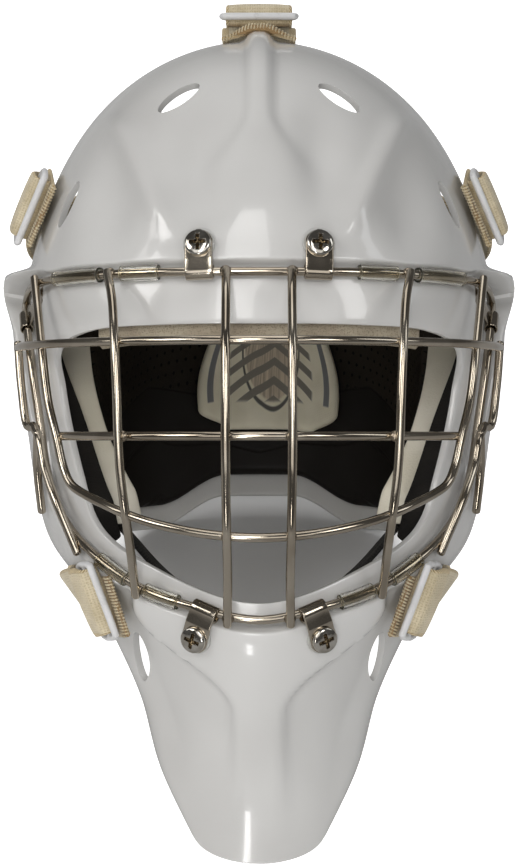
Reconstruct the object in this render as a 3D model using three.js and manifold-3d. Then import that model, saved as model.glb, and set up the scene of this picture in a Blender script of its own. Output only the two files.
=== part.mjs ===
// Hockey goalie mask: a moulded face shell with a welded wire cage, screwed clips, elastic straps with
// three-bar sliders, a floating back plate and foam padding.
// Millimetres, +Z up. The mask is modelled in its own frame: X across the face, Y backwards (the face
// looks along -Y), Z up along the face. At the end the whole group is tilted back until it stands on
// its chin tip and on the lower corners of the back plate, with z = 0 as the floor.
import * as THREE from 'three';
import { mergeVertices } from 'three/addons/utils/BufferGeometryUtils.js';
import Module from 'manifold-3d';

const wasm = await Module();
wasm.setup();

// ---------------------------------------------------------------- driving dimensions
const SHELL_WALL = 3.2;
const RECESS_DEPTH = 5;            // how far the cage's seat lies below the dome
const WIRE_R = 2;
const GAP = 0.3;                   // clearance between neighbouring solids
const ELASTIC = 2;                 // thickness of the knitted elastic
const PLATE_WALL = 3;
const FOOT_TRIM = 0.35;            // depth of the small flats worn on the chin tip and the plate corners

// The shell's sections, from its rear edge at the crown down to the chin tip. Each one runs from a
// point on the centre line round to the rear edge: (x / sideX)^spread + depth^square = 1.
const SHELL_SECTIONS = [
  { frontY: 38, frontZ: 191, sideX: 106, sideY: 58, sideZ: 78, spread: 2.0, square: 2.0 },
  { frontY: 4, frontZ: 185, sideX: 108, sideY: 61, sideZ: 71, spread: 2.05, square: 2.1 },
  { frontY: -31, frontZ: 168, sideX: 110, sideY: 63, sideZ: 64, spread: 2.1, square: 2.3 },
  { frontY: -61, frontZ: 140, sideX: 112, sideY: 64, sideZ: 56, spread: 2.2, square: 2.5 },
  { frontY: -82, frontZ: 108, sideX: 113.5, sideY: 65, sideZ: 46, spread: 2.3, square: 2.8 },
  { frontY: -93, frontZ: 76, sideX: 114.5, sideY: 65, sideZ: 34, spread: 2.45, square: 3.1 },
  { frontY: -95, frontZ: 42, sideX: 112.8, sideY: 64, sideZ: 20, spread: 2.5, square: 3.2 },
  { frontY: -94, frontZ: 4, sideX: 109.3, sideY: 62, sideZ: 2, spread: 2.5, square: 3.2 },
  { frontY: -94, frontZ: -36, sideX: 106.5, sideY: 57, sideZ: -18, spread: 2.4, square: 3.0 },
  { frontY: -96, frontZ: -70, sideX: 100.5, sideY: 48, sideZ: -40, spread: 2.15, square: 2.5 },
  { frontY: -96, frontZ: -94, sideX: 85, sideY: 34, sideZ: -62, spread: 1.95, square: 2.1 },
  { frontY: -88, frontZ: -116, sideX: 70, sideY: 14, sideZ: -88, spread: 1.9, square: 2.0 },
  { frontY: -77, frontZ: -140, sideX: 56, sideY: -10, sideZ: -116, spread: 1.95, square: 2.1 },
  { frontY: -69, frontZ: -166, sideX: 46, sideY: -34, sideZ: -148, spread: 2.0, square: 2.2 },
  { frontY: -65, frontZ: -193, sideX: 30.5, sideY: -54, sideZ: -179, spread: 2.0, square: 2.0 },
];

// The back plate's sections, from its upper edge down to the nape, in the same form.
const PLATE_SECTIONS = [
  { frontY: 85, frontZ: 174, sideX: 97, sideY: 80, sideZ: 76, spread: 2.0, square: 2.0 },
  { frontY: 100, frontZ: 168, sideX: 98, sideY: 82, sideZ: 58, spread: 2.1, square: 2.1 },
  { frontY: 136, frontZ: 136, sideX: 97, sideY: 84, sideZ: 40, spread: 2.2, square: 2.2 },
  { frontY: 158, frontZ: 94, sideX: 96, sideY: 86, sideZ: 22, spread: 2.3, square: 2.3 },
  { frontY: 166, frontZ: 50, sideX: 94, sideY: 88, sideZ: 4, spread: 2.3, square: 2.4 },
  { frontY: 163, frontZ: 6, sideX: 90, sideY: 90, sideZ: -14, spread: 2.2, square: 2.4 },
  { frontY: 155, frontZ: -33, sideX: 80, sideY: 94, sideZ: -38, spread: 2.2, square: 2.4 },
];
const NAPE_ARCH = { drop: 16, inner: 18, outer: 56 };

// Outlines in the front view, right half, from the top centre round to the bottom centre (x, z).
const OPENING = [[0, 48.6], [45, 48.2], [79, 46.2], [96.5, 38], [94.8, 20], [91.4, 2], [85.6, -19],
  [79, -39], [67.4, -51], [44.8, -62], [20.5, -71], [0, -74]];
const CAGE_FRAME = [[0, 71.4], [40, 71.4], [68, 71], [92, 70.5], [106, 68.8], [111.2, 62.5], [110, 54],
  [108, 42], [102.6, 8], [98.8, -16], [92.5, -34], [80, -50], [54, -68], [25, -77], [0, -81.4]];

// ---------------------------------------------------------------- small mathematics
const clamp01 = (x) => Math.min(1, Math.max(0, x));
const mix = (a, b, t) => a + (b - a) * t;
const vec = (x, y, z) => new THREE.Vector3(x, y, z);
const bump = (x, width) => Math.exp(-((x / width) ** 2));

function smooth(from, to, x) {
  const t = clamp01((x - from) / (to - from));
  return t * t * (3 - 2 * t);
}

function spline(a, b, c, d, t) {
  const square = 2 * a - 5 * b + 4 * c - d;
  const cube = 3 * b - a - 3 * c + d;
  return 0.5 * (2 * b + (c - a) * t + square * t * t + cube * t ** 3);
}

// Reads a table of sections at v = 0..1, smoothly between its rows.
function sectionAt(table, v) {
  const last = table.length - 1;
  const place = clamp01(v) * last;
  const i = Math.min(last - 1, Math.floor(place));
  const row = (k) => table[Math.min(last, Math.max(0, k))];
  const section = {};
  for (const key of Object.keys(table[0])) {
    section[key] = spline(row(i - 1)[key], row(i)[key], row(i + 1)[key], row(i + 2)[key], place - i);
  }
  return section;
}

// A point of a section: u = 0 on the centre line, +-1 on the side edge.
function sectionPoint(table, u, v) {
  const row = sectionAt(table, v);
  const angle = Math.min(1, Math.abs(u)) * Math.PI / 2;
  const across = Math.sin(angle) ** (2 / row.spread);
  const depth = Math.max(0, Math.cos(angle)) ** (2 / row.square);
  const x = Math.sign(u) * row.sideX * across;
  return vec(x, mix(row.sideY, row.frontY, depth), mix(row.sideZ, row.frontZ, depth));
}

// Point and outward normal of a surface of sections.
function frameOf(table, u, v) {
  const h = 0.004;
  const along = sectionPoint(table, Math.min(1, u + h), v).sub(sectionPoint(table, Math.max(-1, u - h), v));
  const down = sectionPoint(table, u, Math.min(1, v + h)).sub(sectionPoint(table, u, Math.max(0, v - h)));
  const normal = table === SHELL_SECTIONS ? down.cross(along) : along.cross(down);
  return { point: sectionPoint(table, u, v), normal: normal.normalize() };
}

// The (u, v) of the shell's point that shows at (x, z) in the front view.
function shellUV(x, z) {
  let top = 0;
  let bottom = 1;
  const reach = (v) => {
    const row = sectionAt(SHELL_SECTIONS, v);
    const across = Math.min(1, Math.abs(x) / row.sideX);
    const depth = (1 - across ** row.spread) ** (1 / row.square);
    return { row, across, height: mix(row.sideZ, row.frontZ, depth) };
  };
  for (let step = 0; step < 30; step += 1) {
    const middle = (top + bottom) / 2;
    if (reach(middle).height > z) {
      top = middle;
    } else {
      bottom = middle;
    }
  }
  const { row, across } = reach((top + bottom) / 2);
  const u = Math.asin(Math.min(1, across ** (row.spread / 2))) * 2 / Math.PI;
  return { u: Math.sign(x) * u, v: (top + bottom) / 2 };
}

// A closed outline from its right half: count points (x, z), evenly spaced along it from the top.
function outline(half, count) {
  const left = half.slice(1, -1).reverse().map(([x, z]) => [-x, z]);
  const knots = [...half, ...left];
  const knot = (k) => knots[(k + knots.length) % knots.length];
  const fine = [];
  for (let i = 0; i < knots.length; i += 1) {
    for (let t = 0; t < 1; t += 1 / 16) {
      const around = [knot(i - 1), knot(i), knot(i + 1), knot(i + 2)];
      const pick = (axis) => spline(...around.map((point) => point[axis]), t);
      fine.push(vec(pick(0), 0, pick(1)));
    }
  }
  fine.push(fine[0].clone());
  return evenly(fine, count);
}

// count points evenly spaced along a closed polyline whose last point repeats the first.
function evenly(points, count) {
  const lengths = [0];
  for (let i = 1; i < points.length; i += 1) {
    lengths.push(lengths[i - 1] + points[i].distanceTo(points[i - 1]));
  }
  const total = lengths[lengths.length - 1];
  const even = [];
  let i = 1;
  for (let k = 0; k < count; k += 1) {
    const want = total * k / count;
    while (lengths[i] < want) {
      i += 1;
    }
    const t = (want - lengths[i - 1]) / (lengths[i] - lengths[i - 1]);
    even.push(points[i - 1].clone().lerp(points[i], t));
  }
  return even;
}

// ---------------------------------------------------------------- building blocks
function geometryFrom(positions, triangles) {
  const geometry = new THREE.BufferGeometry();
  const numbers = positions.flatMap((p) => [p.x, p.y, p.z]);
  geometry.setAttribute('position', new THREE.Float32BufferAttribute(numbers, 3));
  geometry.setIndex(triangles);
  return geometry;
}

// A closed wall between two grids of points, rows of equal length. Ring grids join their last
// column to their first. The outer grid is seen from outside with its rows running downwards.
function wall(outer, inner, isRing) {
  const rows = outer.length;
  const columns = outer[0].length;
  const positions = [...outer.flat(), ...inner.flat()];
  const at = (side, row, column) => side * rows * columns + row * columns + (column % columns);
  const triangles = [];
  const quad = (a, b, c, d) => triangles.push(a, b, c, a, c, d);
  const steps = isRing ? columns : columns - 1;
  for (let row = 0; row < rows - 1; row += 1) {
    for (let c = 0; c < steps; c += 1) {
      quad(at(0, row, c), at(0, row + 1, c), at(0, row + 1, c + 1), at(0, row, c + 1));
      quad(at(1, row, c), at(1, row, c + 1), at(1, row + 1, c + 1), at(1, row + 1, c));
    }
  }
  for (let c = 0; c < steps; c += 1) {
    quad(at(0, 0, c), at(0, 0, c + 1), at(1, 0, c + 1), at(1, 0, c));
    quad(at(0, rows - 1, c), at(1, rows - 1, c), at(1, rows - 1, c + 1), at(0, rows - 1, c + 1));
  }
  if (!isRing) {
    for (let row = 0; row < rows - 1; row += 1) {
      quad(at(0, row, 0), at(1, row, 0), at(1, row + 1, 0), at(0, row + 1, 0));
      quad(at(0, row, steps), at(0, row + 1, steps), at(1, row + 1, steps), at(1, row, steps));
    }
  }
  return geometryFrom(positions, triangles);
}

function solidFrom(geometry) {
  const bare = geometry.clone();
  bare.deleteAttribute('normal');
  bare.deleteAttribute('uv');
  const merged = mergeVertices(bare, 1e-4);
  const vertProperties = new Float32Array(merged.attributes.position.array);
  const triVerts = new Uint32Array(merged.index.array);
  return new wasm.Manifold(new wasm.Mesh({ numProp: 3, vertProperties, triVerts }));
}

function geometryOf(solid) {
  const mesh = solid.getMesh();
  const geometry = new THREE.BufferGeometry();
  geometry.setAttribute('position', new THREE.BufferAttribute(mesh.vertProperties, 3));
  geometry.setIndex(new THREE.BufferAttribute(mesh.triVerts, 1));
  return geometry;
}

function joined(geometries) {
  return geometryOf(geometries.map(solidFrom).reduce((all, one) => all.add(one)));
}

function cut(body, tools) {
  return geometryOf(tools.map(solidFrom).reduce((left, tool) => left.subtract(tool), solidFrom(body)));
}

// A matrix whose local z axis points along `out` and whose local x axis leans towards `side`.
function placed(point, out, side) {
  const z = out.clone().normalize();
  const y = z.clone().cross(side).normalize();
  const x = y.clone().cross(z);
  return new THREE.Matrix4().makeBasis(x, y, z).setPosition(point);
}

// A rod of `sides` flats along a smooth curve through the points.
function rod(points, radius, steps, sides = 8) {
  const circle = new THREE.Shape();
  for (let k = 0; k < sides; k += 1) {
    const angle = 2 * Math.PI * (k + 0.5) / sides;
    const place = [radius * Math.cos(angle), radius * Math.sin(angle)];
    if (k === 0) {
      circle.moveTo(...place);
    } else {
      circle.lineTo(...place);
    }
  }
  const extrudePath = new THREE.CatmullRomCurve3(points, false, 'centripetal');
  return new THREE.ExtrudeGeometry(circle, { steps, extrudePath, bevelEnabled: false });
}

// ---------------------------------------------------------------- the shell's surface
// Height of the moulded relief over the plain sections, outside the cage's seat.
function relief(x, z, across) {
  const side = Math.abs(x);
  const ridgeWidth = 6.5 + 30 * (1 - smooth(100, 148, z));
  const ridgeHeight = mix(3, 4.5, smooth(150, 184, z));
  const centreRidge = ridgeHeight * Math.exp(-((side / ridgeWidth) ** 4)) * smooth(84, 112, z);
  const lean = side - mix(45, 66, (z - 100) / 46);
  const sideRidge = 2.4 * bump(lean, 8) * smooth(88, 104, z) * (1 - smooth(140, 152, z));
  const hollow = -3.2 * bump(side - 27, 12) * smooth(92, 112, z) * (1 - smooth(128, 162, z));
  const temple = -4 * bump(side - 66, 13) * bump(z - 101, 20);
  const chinEdge = 9 + 46 * smooth(-128, -78, z) ** 1.25;
  const chinPanel = -4.5 * smooth(chinEdge, chinEdge + 10, side) * smooth(-190, -165, z);
  const chin = chinPanel * (1 - smooth(-74, -62, z)) * (1 - smooth(0.72, 0.95, across));
  const earSize = 1 + 3.5 * smooth(-45, 66, z) + 7 * smooth(46, 70, z);
  const ear = earSize * smooth(0.88, 0.98, across) * (1 - smooth(73, 80, z)) * smooth(-72, -45, z);
  return centreRidge + sideRidge + hollow + temple + chin + ear;
}

// A point of the shell's outer surface or of its inner one; `seat` is 1 inside the cage's frame.
function shellPoint(u, v, seat, depth = 0) {
  const { point, normal } = frameOf(SHELL_SECTIONS, u, v);
  const across = Math.abs(point.x) / sectionAt(SHELL_SECTIONS, v).sideX;
  const height = mix(relief(point.x, point.z, across), -RECESS_DEPTH, seat);
  return point.addScaledVector(normal, height - depth);
}

// A point over the plain sections at (x, z) of the front view.
function onShell(x, z, lift) {
  const { u, v } = shellUV(x, z);
  const { point, normal } = frameOf(SHELL_SECTIONS, u, v);
  return point.addScaledVector(normal, lift);
}

// The shell is a ring of columns. Each column starts on the face opening, crosses the cage's frame
// line and ends on the outer border, which is the rear edge all round.
const COLUMNS = 54;
const INNER_ROWS = [0, 0.5, 1];
const STEP_ROWS = [2.8, 5.5];        // distances outside the frame line: foot and top of the step
const EAR_ROOM = 5.2;                // the step stands this much further off beside the ears
const OUTER_ROWS = [0.12, 0.26, 0.41, 0.56, 0.71, 0.86, 1];

function borderUV(count) {
  const fine = [];
  for (let k = 0; k <= 360; k += 1) {
    const angle = 2 * Math.PI * k / 360;
    const roundness = 2 / 9;
    const u = Math.sign(Math.sin(angle)) * Math.abs(Math.sin(angle)) ** roundness;
    const v = 0.5 - 0.5 * Math.sign(Math.cos(angle)) * Math.abs(Math.cos(angle)) ** roundness;
    const spot = sectionPoint(SHELL_SECTIONS, u, v);
    spot.u = u;
    spot.v = v;
    fine.push(spot);
  }
  const lengths = [0];
  for (let i = 1; i < fine.length; i += 1) {
    lengths.push(lengths[i - 1] + fine[i].distanceTo(fine[i - 1]));
  }
  const border = [];
  let i = 1;
  for (let k = 0; k < count; k += 1) {
    const want = lengths[360] * k / count;
    while (lengths[i] < want) {
      i += 1;
    }
    const t = (want - lengths[i - 1]) / (lengths[i] - lengths[i - 1]);
    border.push({ u: mix(fine[i - 1].u, fine[i].u, t), v: mix(fine[i - 1].v, fine[i].v, t) });
  }
  return border;
}

function makeShell() {
  const openingUV = outline(OPENING, COLUMNS).map((p) => shellUV(p.x, p.z));
  const frameUV = outline(CAGE_FRAME, COLUMNS).map((p) => shellUV(p.x, p.z));
  const edgeUV = borderUV(COLUMNS);
  const blend = (a, b, t) => ({ u: mix(a.u, b.u, t), v: mix(a.v, b.v, t) });
  const outer = [];
  const inner = [];
  const addRow = (uvs, seat) => {
    outer.unshift(uvs.map(({ u, v }) => shellPoint(u, v, seat)));
    inner.unshift(uvs.map(({ u, v }) => shellPoint(u, v, seat, SHELL_WALL)));
  };
  for (const t of INNER_ROWS) {
    addRow(openingUV.map((spot, k) => blend(spot, frameUV[k], t)), 1);
  }
  const stepUV = STEP_ROWS.map((distance) => frameUV.map((spot, k) => {
    const start = sectionPoint(SHELL_SECTIONS, spot.u, spot.v);
    const wanted = distance + EAR_ROOM * smooth(94, 104, Math.abs(start.x));
    let [near, far] = [0, 0.5];
    for (let step = 0; step < 20; step += 1) {
      const { u, v } = blend(spot, edgeUV[k], (near + far) / 2);
      const isShort = start.distanceTo(sectionPoint(SHELL_SECTIONS, u, v)) < wanted;
      [near, far] = isShort ? [(near + far) / 2, far] : [near, (near + far) / 2];
    }
    return blend(spot, edgeUV[k], near);
  }));
  stepUV.forEach((uvs, index) => addRow(uvs, 1 - index));
  for (const t of OUTER_ROWS) {
    addRow(stepUV[1].map((spot, k) => blend(spot, edgeUV[k], t)), 0);
  }
  return wall(outer, inner, true);
}

// Vents: slanted slots cut square to the surface. Each is centred at (x, z) on the right half, and
// `turn` leans its long axis from the vertical towards the outside.
const VENTS = [
  { x: 37, z: 154.5, length: 23.5, width: 12, turn: 126 },
  { x: 88, z: 106, length: 24, width: 10.5, turn: -36 },
  { x: 56.5, z: -102.5, length: 25, width: 12, turn: 21 },
];

function slotTool(half, vent) {
  const shape = new THREE.Shape();
  shape.absellipse(0, 0, vent.width / 2, vent.length / 2, 0, 2 * Math.PI, false, 0);
  const tool = new THREE.ExtrudeGeometry(shape, { depth: 24, bevelEnabled: false, curveSegments: 6 });
  tool.translate(0, 0, -14);
  const { u, v } = shellUV(half * vent.x, vent.z);
  const { point, normal } = frameOf(SHELL_SECTIONS, u, v);
  tool.rotateZ(-half * THREE.MathUtils.degToRad(vent.turn));
  return tool.applyMatrix4(placed(point, normal, vec(-1, 0, 0)));
}

// ---------------------------------------------------------------- the cage
const FRAME_LIFT = -0.8;           // the frame wire's centre, measured from the plain sections
const frameCurve = new THREE.CatmullRomCurve3(
  outline(CAGE_FRAME, COLUMNS).map((p) => onShell(p.x, p.z, FRAME_LIFT)),
  true,
);
frameCurve.getPointAt = frameCurve.getPoint;      // keep the tube's rings on the curve's own knots
frameCurve.getTangentAt = frameCurve.getTangent;
const frameKnots = [...frameCurve.points, frameCurve.points[0]];

// A bar bent to an ellipse in plan, from -end to end.
function ellipseBar(halfWidth, depth, end, heightAt, count) {
  const points = [];
  const reach = Math.asin(end / halfWidth);
  for (let k = 0; k <= count; k += 1) {
    const angle = mix(-reach, reach, k / count);
    const x = halfWidth * Math.sin(angle);
    points.push(vec(x, -depth * Math.cos(angle), heightAt(x)));
  }
  return points;
}

const mirrored = (points, half) => points.map((p) => vec(half * p.x, p.y, p.z));

// The U-shaped wire: down one side, round a tight bend and across below the eyes.
const U_WIRE = [[98, -61, 40], [94.5, -68, 15], [90.4, -73, -1], [87, -76, -15],
  [83.6, -79.5, -22], [76.5, -87, -26.8], [67, -98, -31], [60, -104, -34], [46, -111.5, -38.5],
  [24, -118.5, -42.8], [0, -121, -44.5]];

// Verticals: the centre pair and the outer pair, between their welds on the frame's top and bottom bar.
const CENTRE_VERTICAL = [[14.3, -113, 59], [14.3, -125.5, 41], [14.3, -129.6, 20],
  [14.3, -130.2, -2], [14.1, -127.6, -24], [13.8, -122.6, -44], [13.5, -110, -64]];
const OUTER_VERTICAL = [[63.6, -97, 59], [61.8, -107.2, 41], [61.2, -110.5, 20],
  [60.8, -111, -2], [60.2, -110, -19], [58.6, -107, -35], [57, -96.5, -54]];

// The bracket beside each ear: down from the second bar's end, inwards over the frame wire and on to it.
const BRACKET_DROP = [[112.2, -19, 42], [110.3, -23, 22], [107, -28.5, 3.6], [103.4, -34.5, 3.8]];
const BRACKET_BAR = [[99.6, 3.4], [97, -2], [94.6, -14], [89, -29], [80.4, -53]];
const BRACKET_SHORT = [[97.8, 1], [98.6, -16], [97.2, -35]];
const CROSS_LIFT = FRAME_LIFT + 3.3;   // a wire welded on top of the frame wire

function makeCage() {
  const sides = 6;
  const weld = (x, z) => onShell(x, z, CROSS_LIFT);
  const pieces = [
    new THREE.TubeGeometry(frameCurve, COLUMNS, WIRE_R, sides, true),
    rod(ellipseBar(113.5, 125, 112.6, () => 40.2, 24), WIRE_R, 16, sides),
    rod(ellipseBar(107, 127.2, 89.5, () => -0.9, 16), WIRE_R, 12, sides),
  ];
  const uHalf = [weld(101, 71), ...U_WIRE.map((p) => vec(...p))];
  pieces.push(rod([...mirrored(uHalf, -1), ...uHalf.slice(0, -1).reverse()], WIRE_R, 26, sides));
  for (const half of [-1, 1]) {
    const upright = (knots, top, bottom) => {
      const middle = mirrored(knots.map((p) => vec(...p)), half);
      const ends = [top, bottom].map(([x, z]) => weld(half * x, z));
      pieces.push(rod([ends[0], ...middle, ends[1]], WIRE_R, 8, sides));
    };
    upright(CENTRE_VERTICAL, [14.3, 73.5], [13.4, -83.4]);
    upright(OUTER_VERTICAL, [65.8, 73.2], [54.2, -70.6]);
    const drop = mirrored(BRACKET_DROP.map((p) => vec(...p)), half);
    const bar = BRACKET_BAR.map(([x, z], k) => onShell(half * x, z, k === 4 ? 2.2 : 4));
    const short = BRACKET_SHORT.map(([x, z], k) => onShell(half * x, z, 4 - 0.3 * k));
    pieces.push(rod([...drop, ...bar], WIRE_R, 14, sides));
    pieces.push(rod(short, WIRE_R, 3, sides));
  }
  return joined(pieces);
}

// ---------------------------------------------------------------- clip, washer and screw
const CLIP = { sleeve: 12.4, bore: 2.8, outside: 3.5, plate: 1.2, halfWidth: 6.5 };
const WASHER = { radius: 7.1, thickness: 1.2, hole: 2.45 };
const SCREW = { head: 5.9, headHeight: 2.4, shank: 2, reach: 5.4 };
const SEAT_DEPTH = 0.25;
const WASHER_AT = 0.32;
const PLATE_AT = WASHER_AT + WASHER.thickness + 0.32;
const HEAD_AT = PLATE_AT + CLIP.plate + 0.32;

// Where the four screws stand (x, z) on the right half; `wire` is the frame wire's z beside each.
const SCREWED_CLIPS = [
  { name: 'top', x: 26.3, z: 83, wire: 71.4, lean: 0 },
  { name: 'chin', x: 27.3, z: -89.5, wire: -76.4, lean: 14 },
];

function disc(radius, from, to, sides = 12) {
  const body = new THREE.CylinderGeometry(radius, radius, to - from, sides);
  return body.rotateX(Math.PI / 2).translate(0, 0, (from + to) / 2);
}

// The seat of a clip: its local z is the shell's normal, its local x runs along the wire.
function clipSeat(clip, half) {
  const { u, v } = shellUV(half * clip.x, clip.z);
  const { point, normal } = frameOf(SHELL_SECTIONS, u, v);
  const lean = THREE.MathUtils.degToRad(clip.lean) * half;
  return placed(point.addScaledVector(normal, -SEAT_DEPTH), normal, vec(Math.cos(lean), 0, Math.sin(lean)));
}

// A tube with open ends closed by rings, along local x, centred on `middle`.
function sleeveAlong(direction, middle, length, bore, outside) {
  const tube = disc(outside, -length / 2, length / 2, 8);
  const hole = disc(bore, -length, length, 8);
  const matrix = placed(middle, direction, vec(0, 0, 1));
  return cut(tube, [hole]).applyMatrix4(matrix);
}

// The point of the frame wire nearest to `spot`, and the wire's direction there.
function wireNear(spot) {
  let best = { distance: Infinity };
  for (let k = 0; k < COLUMNS; k += 1) {
    const chord = new THREE.Line3(frameKnots[k], frameKnots[k + 1]);
    const point = chord.closestPointToPoint(spot, true, vec(0, 0, 0));
    const distance = point.distanceTo(spot);
    if (distance < best.distance) {
      best = { distance, point, direction: chord.delta(vec(0, 0, 0)).normalize() };
    }
  }
  return best;
}

function makeScrewedClip(clip, half) {
  const seat = clipSeat(clip, half);
  const wire = wireNear(onShell(half * (clip.x - 0.6), clip.wire, FRAME_LIFT));
  const middle = wire.point.clone().applyMatrix4(seat.clone().invert());
  const towards = Math.sign(middle.y);
  const top = middle.z + CLIP.outside;
  const profile = new THREE.Shape([
    [0, PLATE_AT], [0, PLATE_AT + CLIP.plate],
    [towards * 7.5, PLATE_AT + CLIP.plate], [middle.y, top], [middle.y, top - 0.8],
    [middle.y - towards * 2.4, top - 1.6], [towards * 7.4, PLATE_AT],
  ].map(([y, z]) => new THREE.Vector2(y, z)));
  const depth = 2 * CLIP.halfWidth - 0.4;
  const tongue = new THREE.ExtrudeGeometry(profile, { depth, bevelEnabled: false });
  tongue.translate(0, 0, -depth / 2);
  tongue.applyMatrix4(new THREE.Matrix4().makeBasis(vec(0, 1, 0), vec(0, 0, 1), vec(1, 0, 0)));
  const plate = joined([disc(CLIP.halfWidth, PLATE_AT, PLATE_AT + CLIP.plate), tongue]).applyMatrix4(seat);
  const onWire = placed(wire.point, wire.direction, vec(0, 0, 1));
  const bore = disc(CLIP.bore, -CLIP.sleeve, CLIP.sleeve, 8).applyMatrix4(onWire);
  const hole = disc(WASHER.hole, -2, 9).applyMatrix4(seat);
  const sleeve = sleeveAlong(wire.direction, wire.point, CLIP.sleeve, CLIP.bore, CLIP.outside);
  return cut(joined([plate, sleeve]), [bore, hole]);
}

function makeWasher() {
  const body = disc(WASHER.radius, WASHER_AT, WASHER_AT + WASHER.thickness);
  return cut(body, [disc(WASHER.hole, -1, 5)]);
}

function makeScrew() {
  const head = disc(SCREW.head, HEAD_AT, HEAD_AT + SCREW.headHeight);
  const shank = disc(SCREW.shank, -SCREW.reach, HEAD_AT + 0.5, 8);
  return joined([head, shank]);
}

// The clips on the side bars: a sleeve with a short tongue that lies on the recess floor.
const SIDE_CLIP = { x: 109.7, z: 52, sleeve: 10.5, bore: 2.6, outside: 3.1, footX: 105, footLift: 1.2 };

function makeSideClip(half) {
  const { x, z, sleeve, bore, outside, footX, footLift } = SIDE_CLIP;
  const wire = wireNear(onShell(half * x, z, FRAME_LIFT));
  const foot = onShell(half * footX, z, footLift - RECESS_DEPTH);
  const reach = foot.clone().sub(wire.point);
  const tongue = new THREE.BoxGeometry(reach.length() * 0.75, sleeve - 0.6, 0.9);
  const middle = wire.point.clone().addScaledVector(reach, 0.625);
  tongue.applyMatrix4(placed(middle, wire.direction.clone().cross(reach), reach));
  const hole = disc(bore, -sleeve, sleeve, 8).applyMatrix4(placed(wire.point, wire.direction, vec(0, 0, 1)));
  return cut(joined([sleeveAlong(wire.direction, wire.point, sleeve, bore, outside), tongue]), [hole]);
}

// ---------------------------------------------------------------- clear tubing on the frame wire
const TUBING = { bore: 2.5, outside: 3.4 };
const TUBING_RUNS = [
  { name: 'top_inner', from: 43, to: 61.5, top: true },
  { name: 'top_outer', from: 69.5, to: 92, top: true },
  { name: 'low_inner', from: 36, to: 50.5, top: false },
  { name: 'low_outer', from: 58, to: 72, top: false },
];

function makeTubing(run, half) {
  const isOnRun = (p) => half * p.x >= run.from && half * p.x <= run.to && (p.z > 0) === run.top;
  const stops = [];
  for (let k = 0; k < COLUMNS; k += 1) {
    const [a, b] = [frameKnots[k], frameKnots[k + 1]];
    const direction = b.clone().sub(a).normalize();
    if (isOnRun(a)) {
      stops.push({ point: a, direction: frameCurve.getTangent(k / COLUMNS) });
    }
    for (const x of [run.from, run.to]) {
      const t = (half * x - a.x) / (b.x - a.x);
      if (t > 0 && t < 1 && (a.z > 0) === run.top) {
        stops.push({ point: a.clone().lerp(b, t), direction });
      }
    }
  }
  stops.sort((a, b) => (a.point.x - b.point.x) * (run.top ? 1 : -1));
  const sides = 8;
  const ring = ({ point, direction }, radius) => {
    const matrix = placed(point, direction, vec(0, 0, 1));
    return Array.from({ length: sides }, (_, i) => {
      const angle = -2 * Math.PI * i / sides;
      return vec(radius * Math.cos(angle), radius * Math.sin(angle), 0).applyMatrix4(matrix);
    });
  };
  const outside = stops.map((stop) => ring(stop, TUBING.outside));
  const bore = stops.map((stop) => ring(stop, TUBING.bore));
  return wall(outside, bore, true);
}

// ---------------------------------------------------------------- straps and sliders
const STRAP_STANDOFF = 0.6;
const PLATE_LIFT = 0.4;
const LIFT_FADE = { from: 24, to: 100 };   // past the shell's edge, where the strap comes down
const PLATE_STOPS = 6;

// A route is a line over the shell and on to the back plate, with the surface's normal along it.
// The strap may be rolled near its start (degrees) and lifted off the shell.
function makeRoute({ shell: shellStops, plate, roll, lift }) {
  const stops = shellStops.map(([u, v]) => {
    const { normal } = frameOf(SHELL_SECTIONS, u, v);
    return { point: shellPoint(u, v, 0), normal };
  });
  for (let k = 0; k <= PLATE_STOPS; k += 1) {
    const place = (plate.length - 1) * k / PLATE_STOPS;
    const i = Math.min(plate.length - 2, Math.floor(place));
    const [u, v] = [0, 1].map((axis) => mix(plate[i][axis], plate[i + 1][axis], place - i));
    stops.push({ point: platePoint(u, v, 0), normal: frameOf(PLATE_SECTIONS, u, v).normal });
  }
  const line = new THREE.CatmullRomCurve3(stops.map((stop) => stop.point), false, 'centripetal');
  const facing = new THREE.CatmullRomCurve3(stops.map((stop) => stop.normal), false, 'centripetal');
  const lengths = line.getLengths();
  const edge = lengths[Math.round((lengths.length - 1) * (shellStops.length - 1) / (stops.length - 1))];
  return { line, facing, length: line.getLength(), edge, roll: THREE.MathUtils.degToRad(roll), lift };
}

// The place `s` along a route: point, normal, direction and the strap's width direction.
function routeAt(route, s) {
  const knot = route.line.getUtoTmapping(clamp01(s / route.length));
  const along = route.line.getTangent(knot);
  const normal = route.facing.getPoint(knot);
  const ease = 1 - smooth(24, 60, s);
  normal.addScaledVector(along, -normal.dot(along)).normalize().applyAxisAngle(along, ease * route.roll);
  const lift = mix(route.lift, PLATE_LIFT, smooth(LIFT_FADE.from, LIFT_FADE.to, s - route.edge));
  const point = route.line.getPoint(knot).addScaledVector(normal, lift);
  return { point, along, normal, width: normal.clone().cross(along) };
}

// A flat band whose side view is a line of (s, height) over the route; its front end is shifted
// sideways by `shift`.
function band(route, profile, width, shift = 0) {
  const rings = profile.map(([s, height], k) => {
    const before = profile[Math.max(0, k - 1)];
    const after = profile[Math.min(profile.length - 1, k + 1)];
    const slope = new THREE.Vector2(after[0] - before[0], after[1] - before[1]).normalize();
    const corner = (side, edge) => {
      const off = side * ELASTIC / 2;
      const aside = edge * width / 2 + shift * (1 - smooth(12, 36, s));
      const place = routeAt(route, s - slope.y * off);
      return place.point.clone().addScaledVector(place.normal, height + slope.x * off)
        .addScaledVector(place.width, aside);
    };
    return [corner(1, -1), corner(1, 1), corner(-1, 1), corner(-1, -1)];
  });
  return loft(rings);
}

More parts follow.
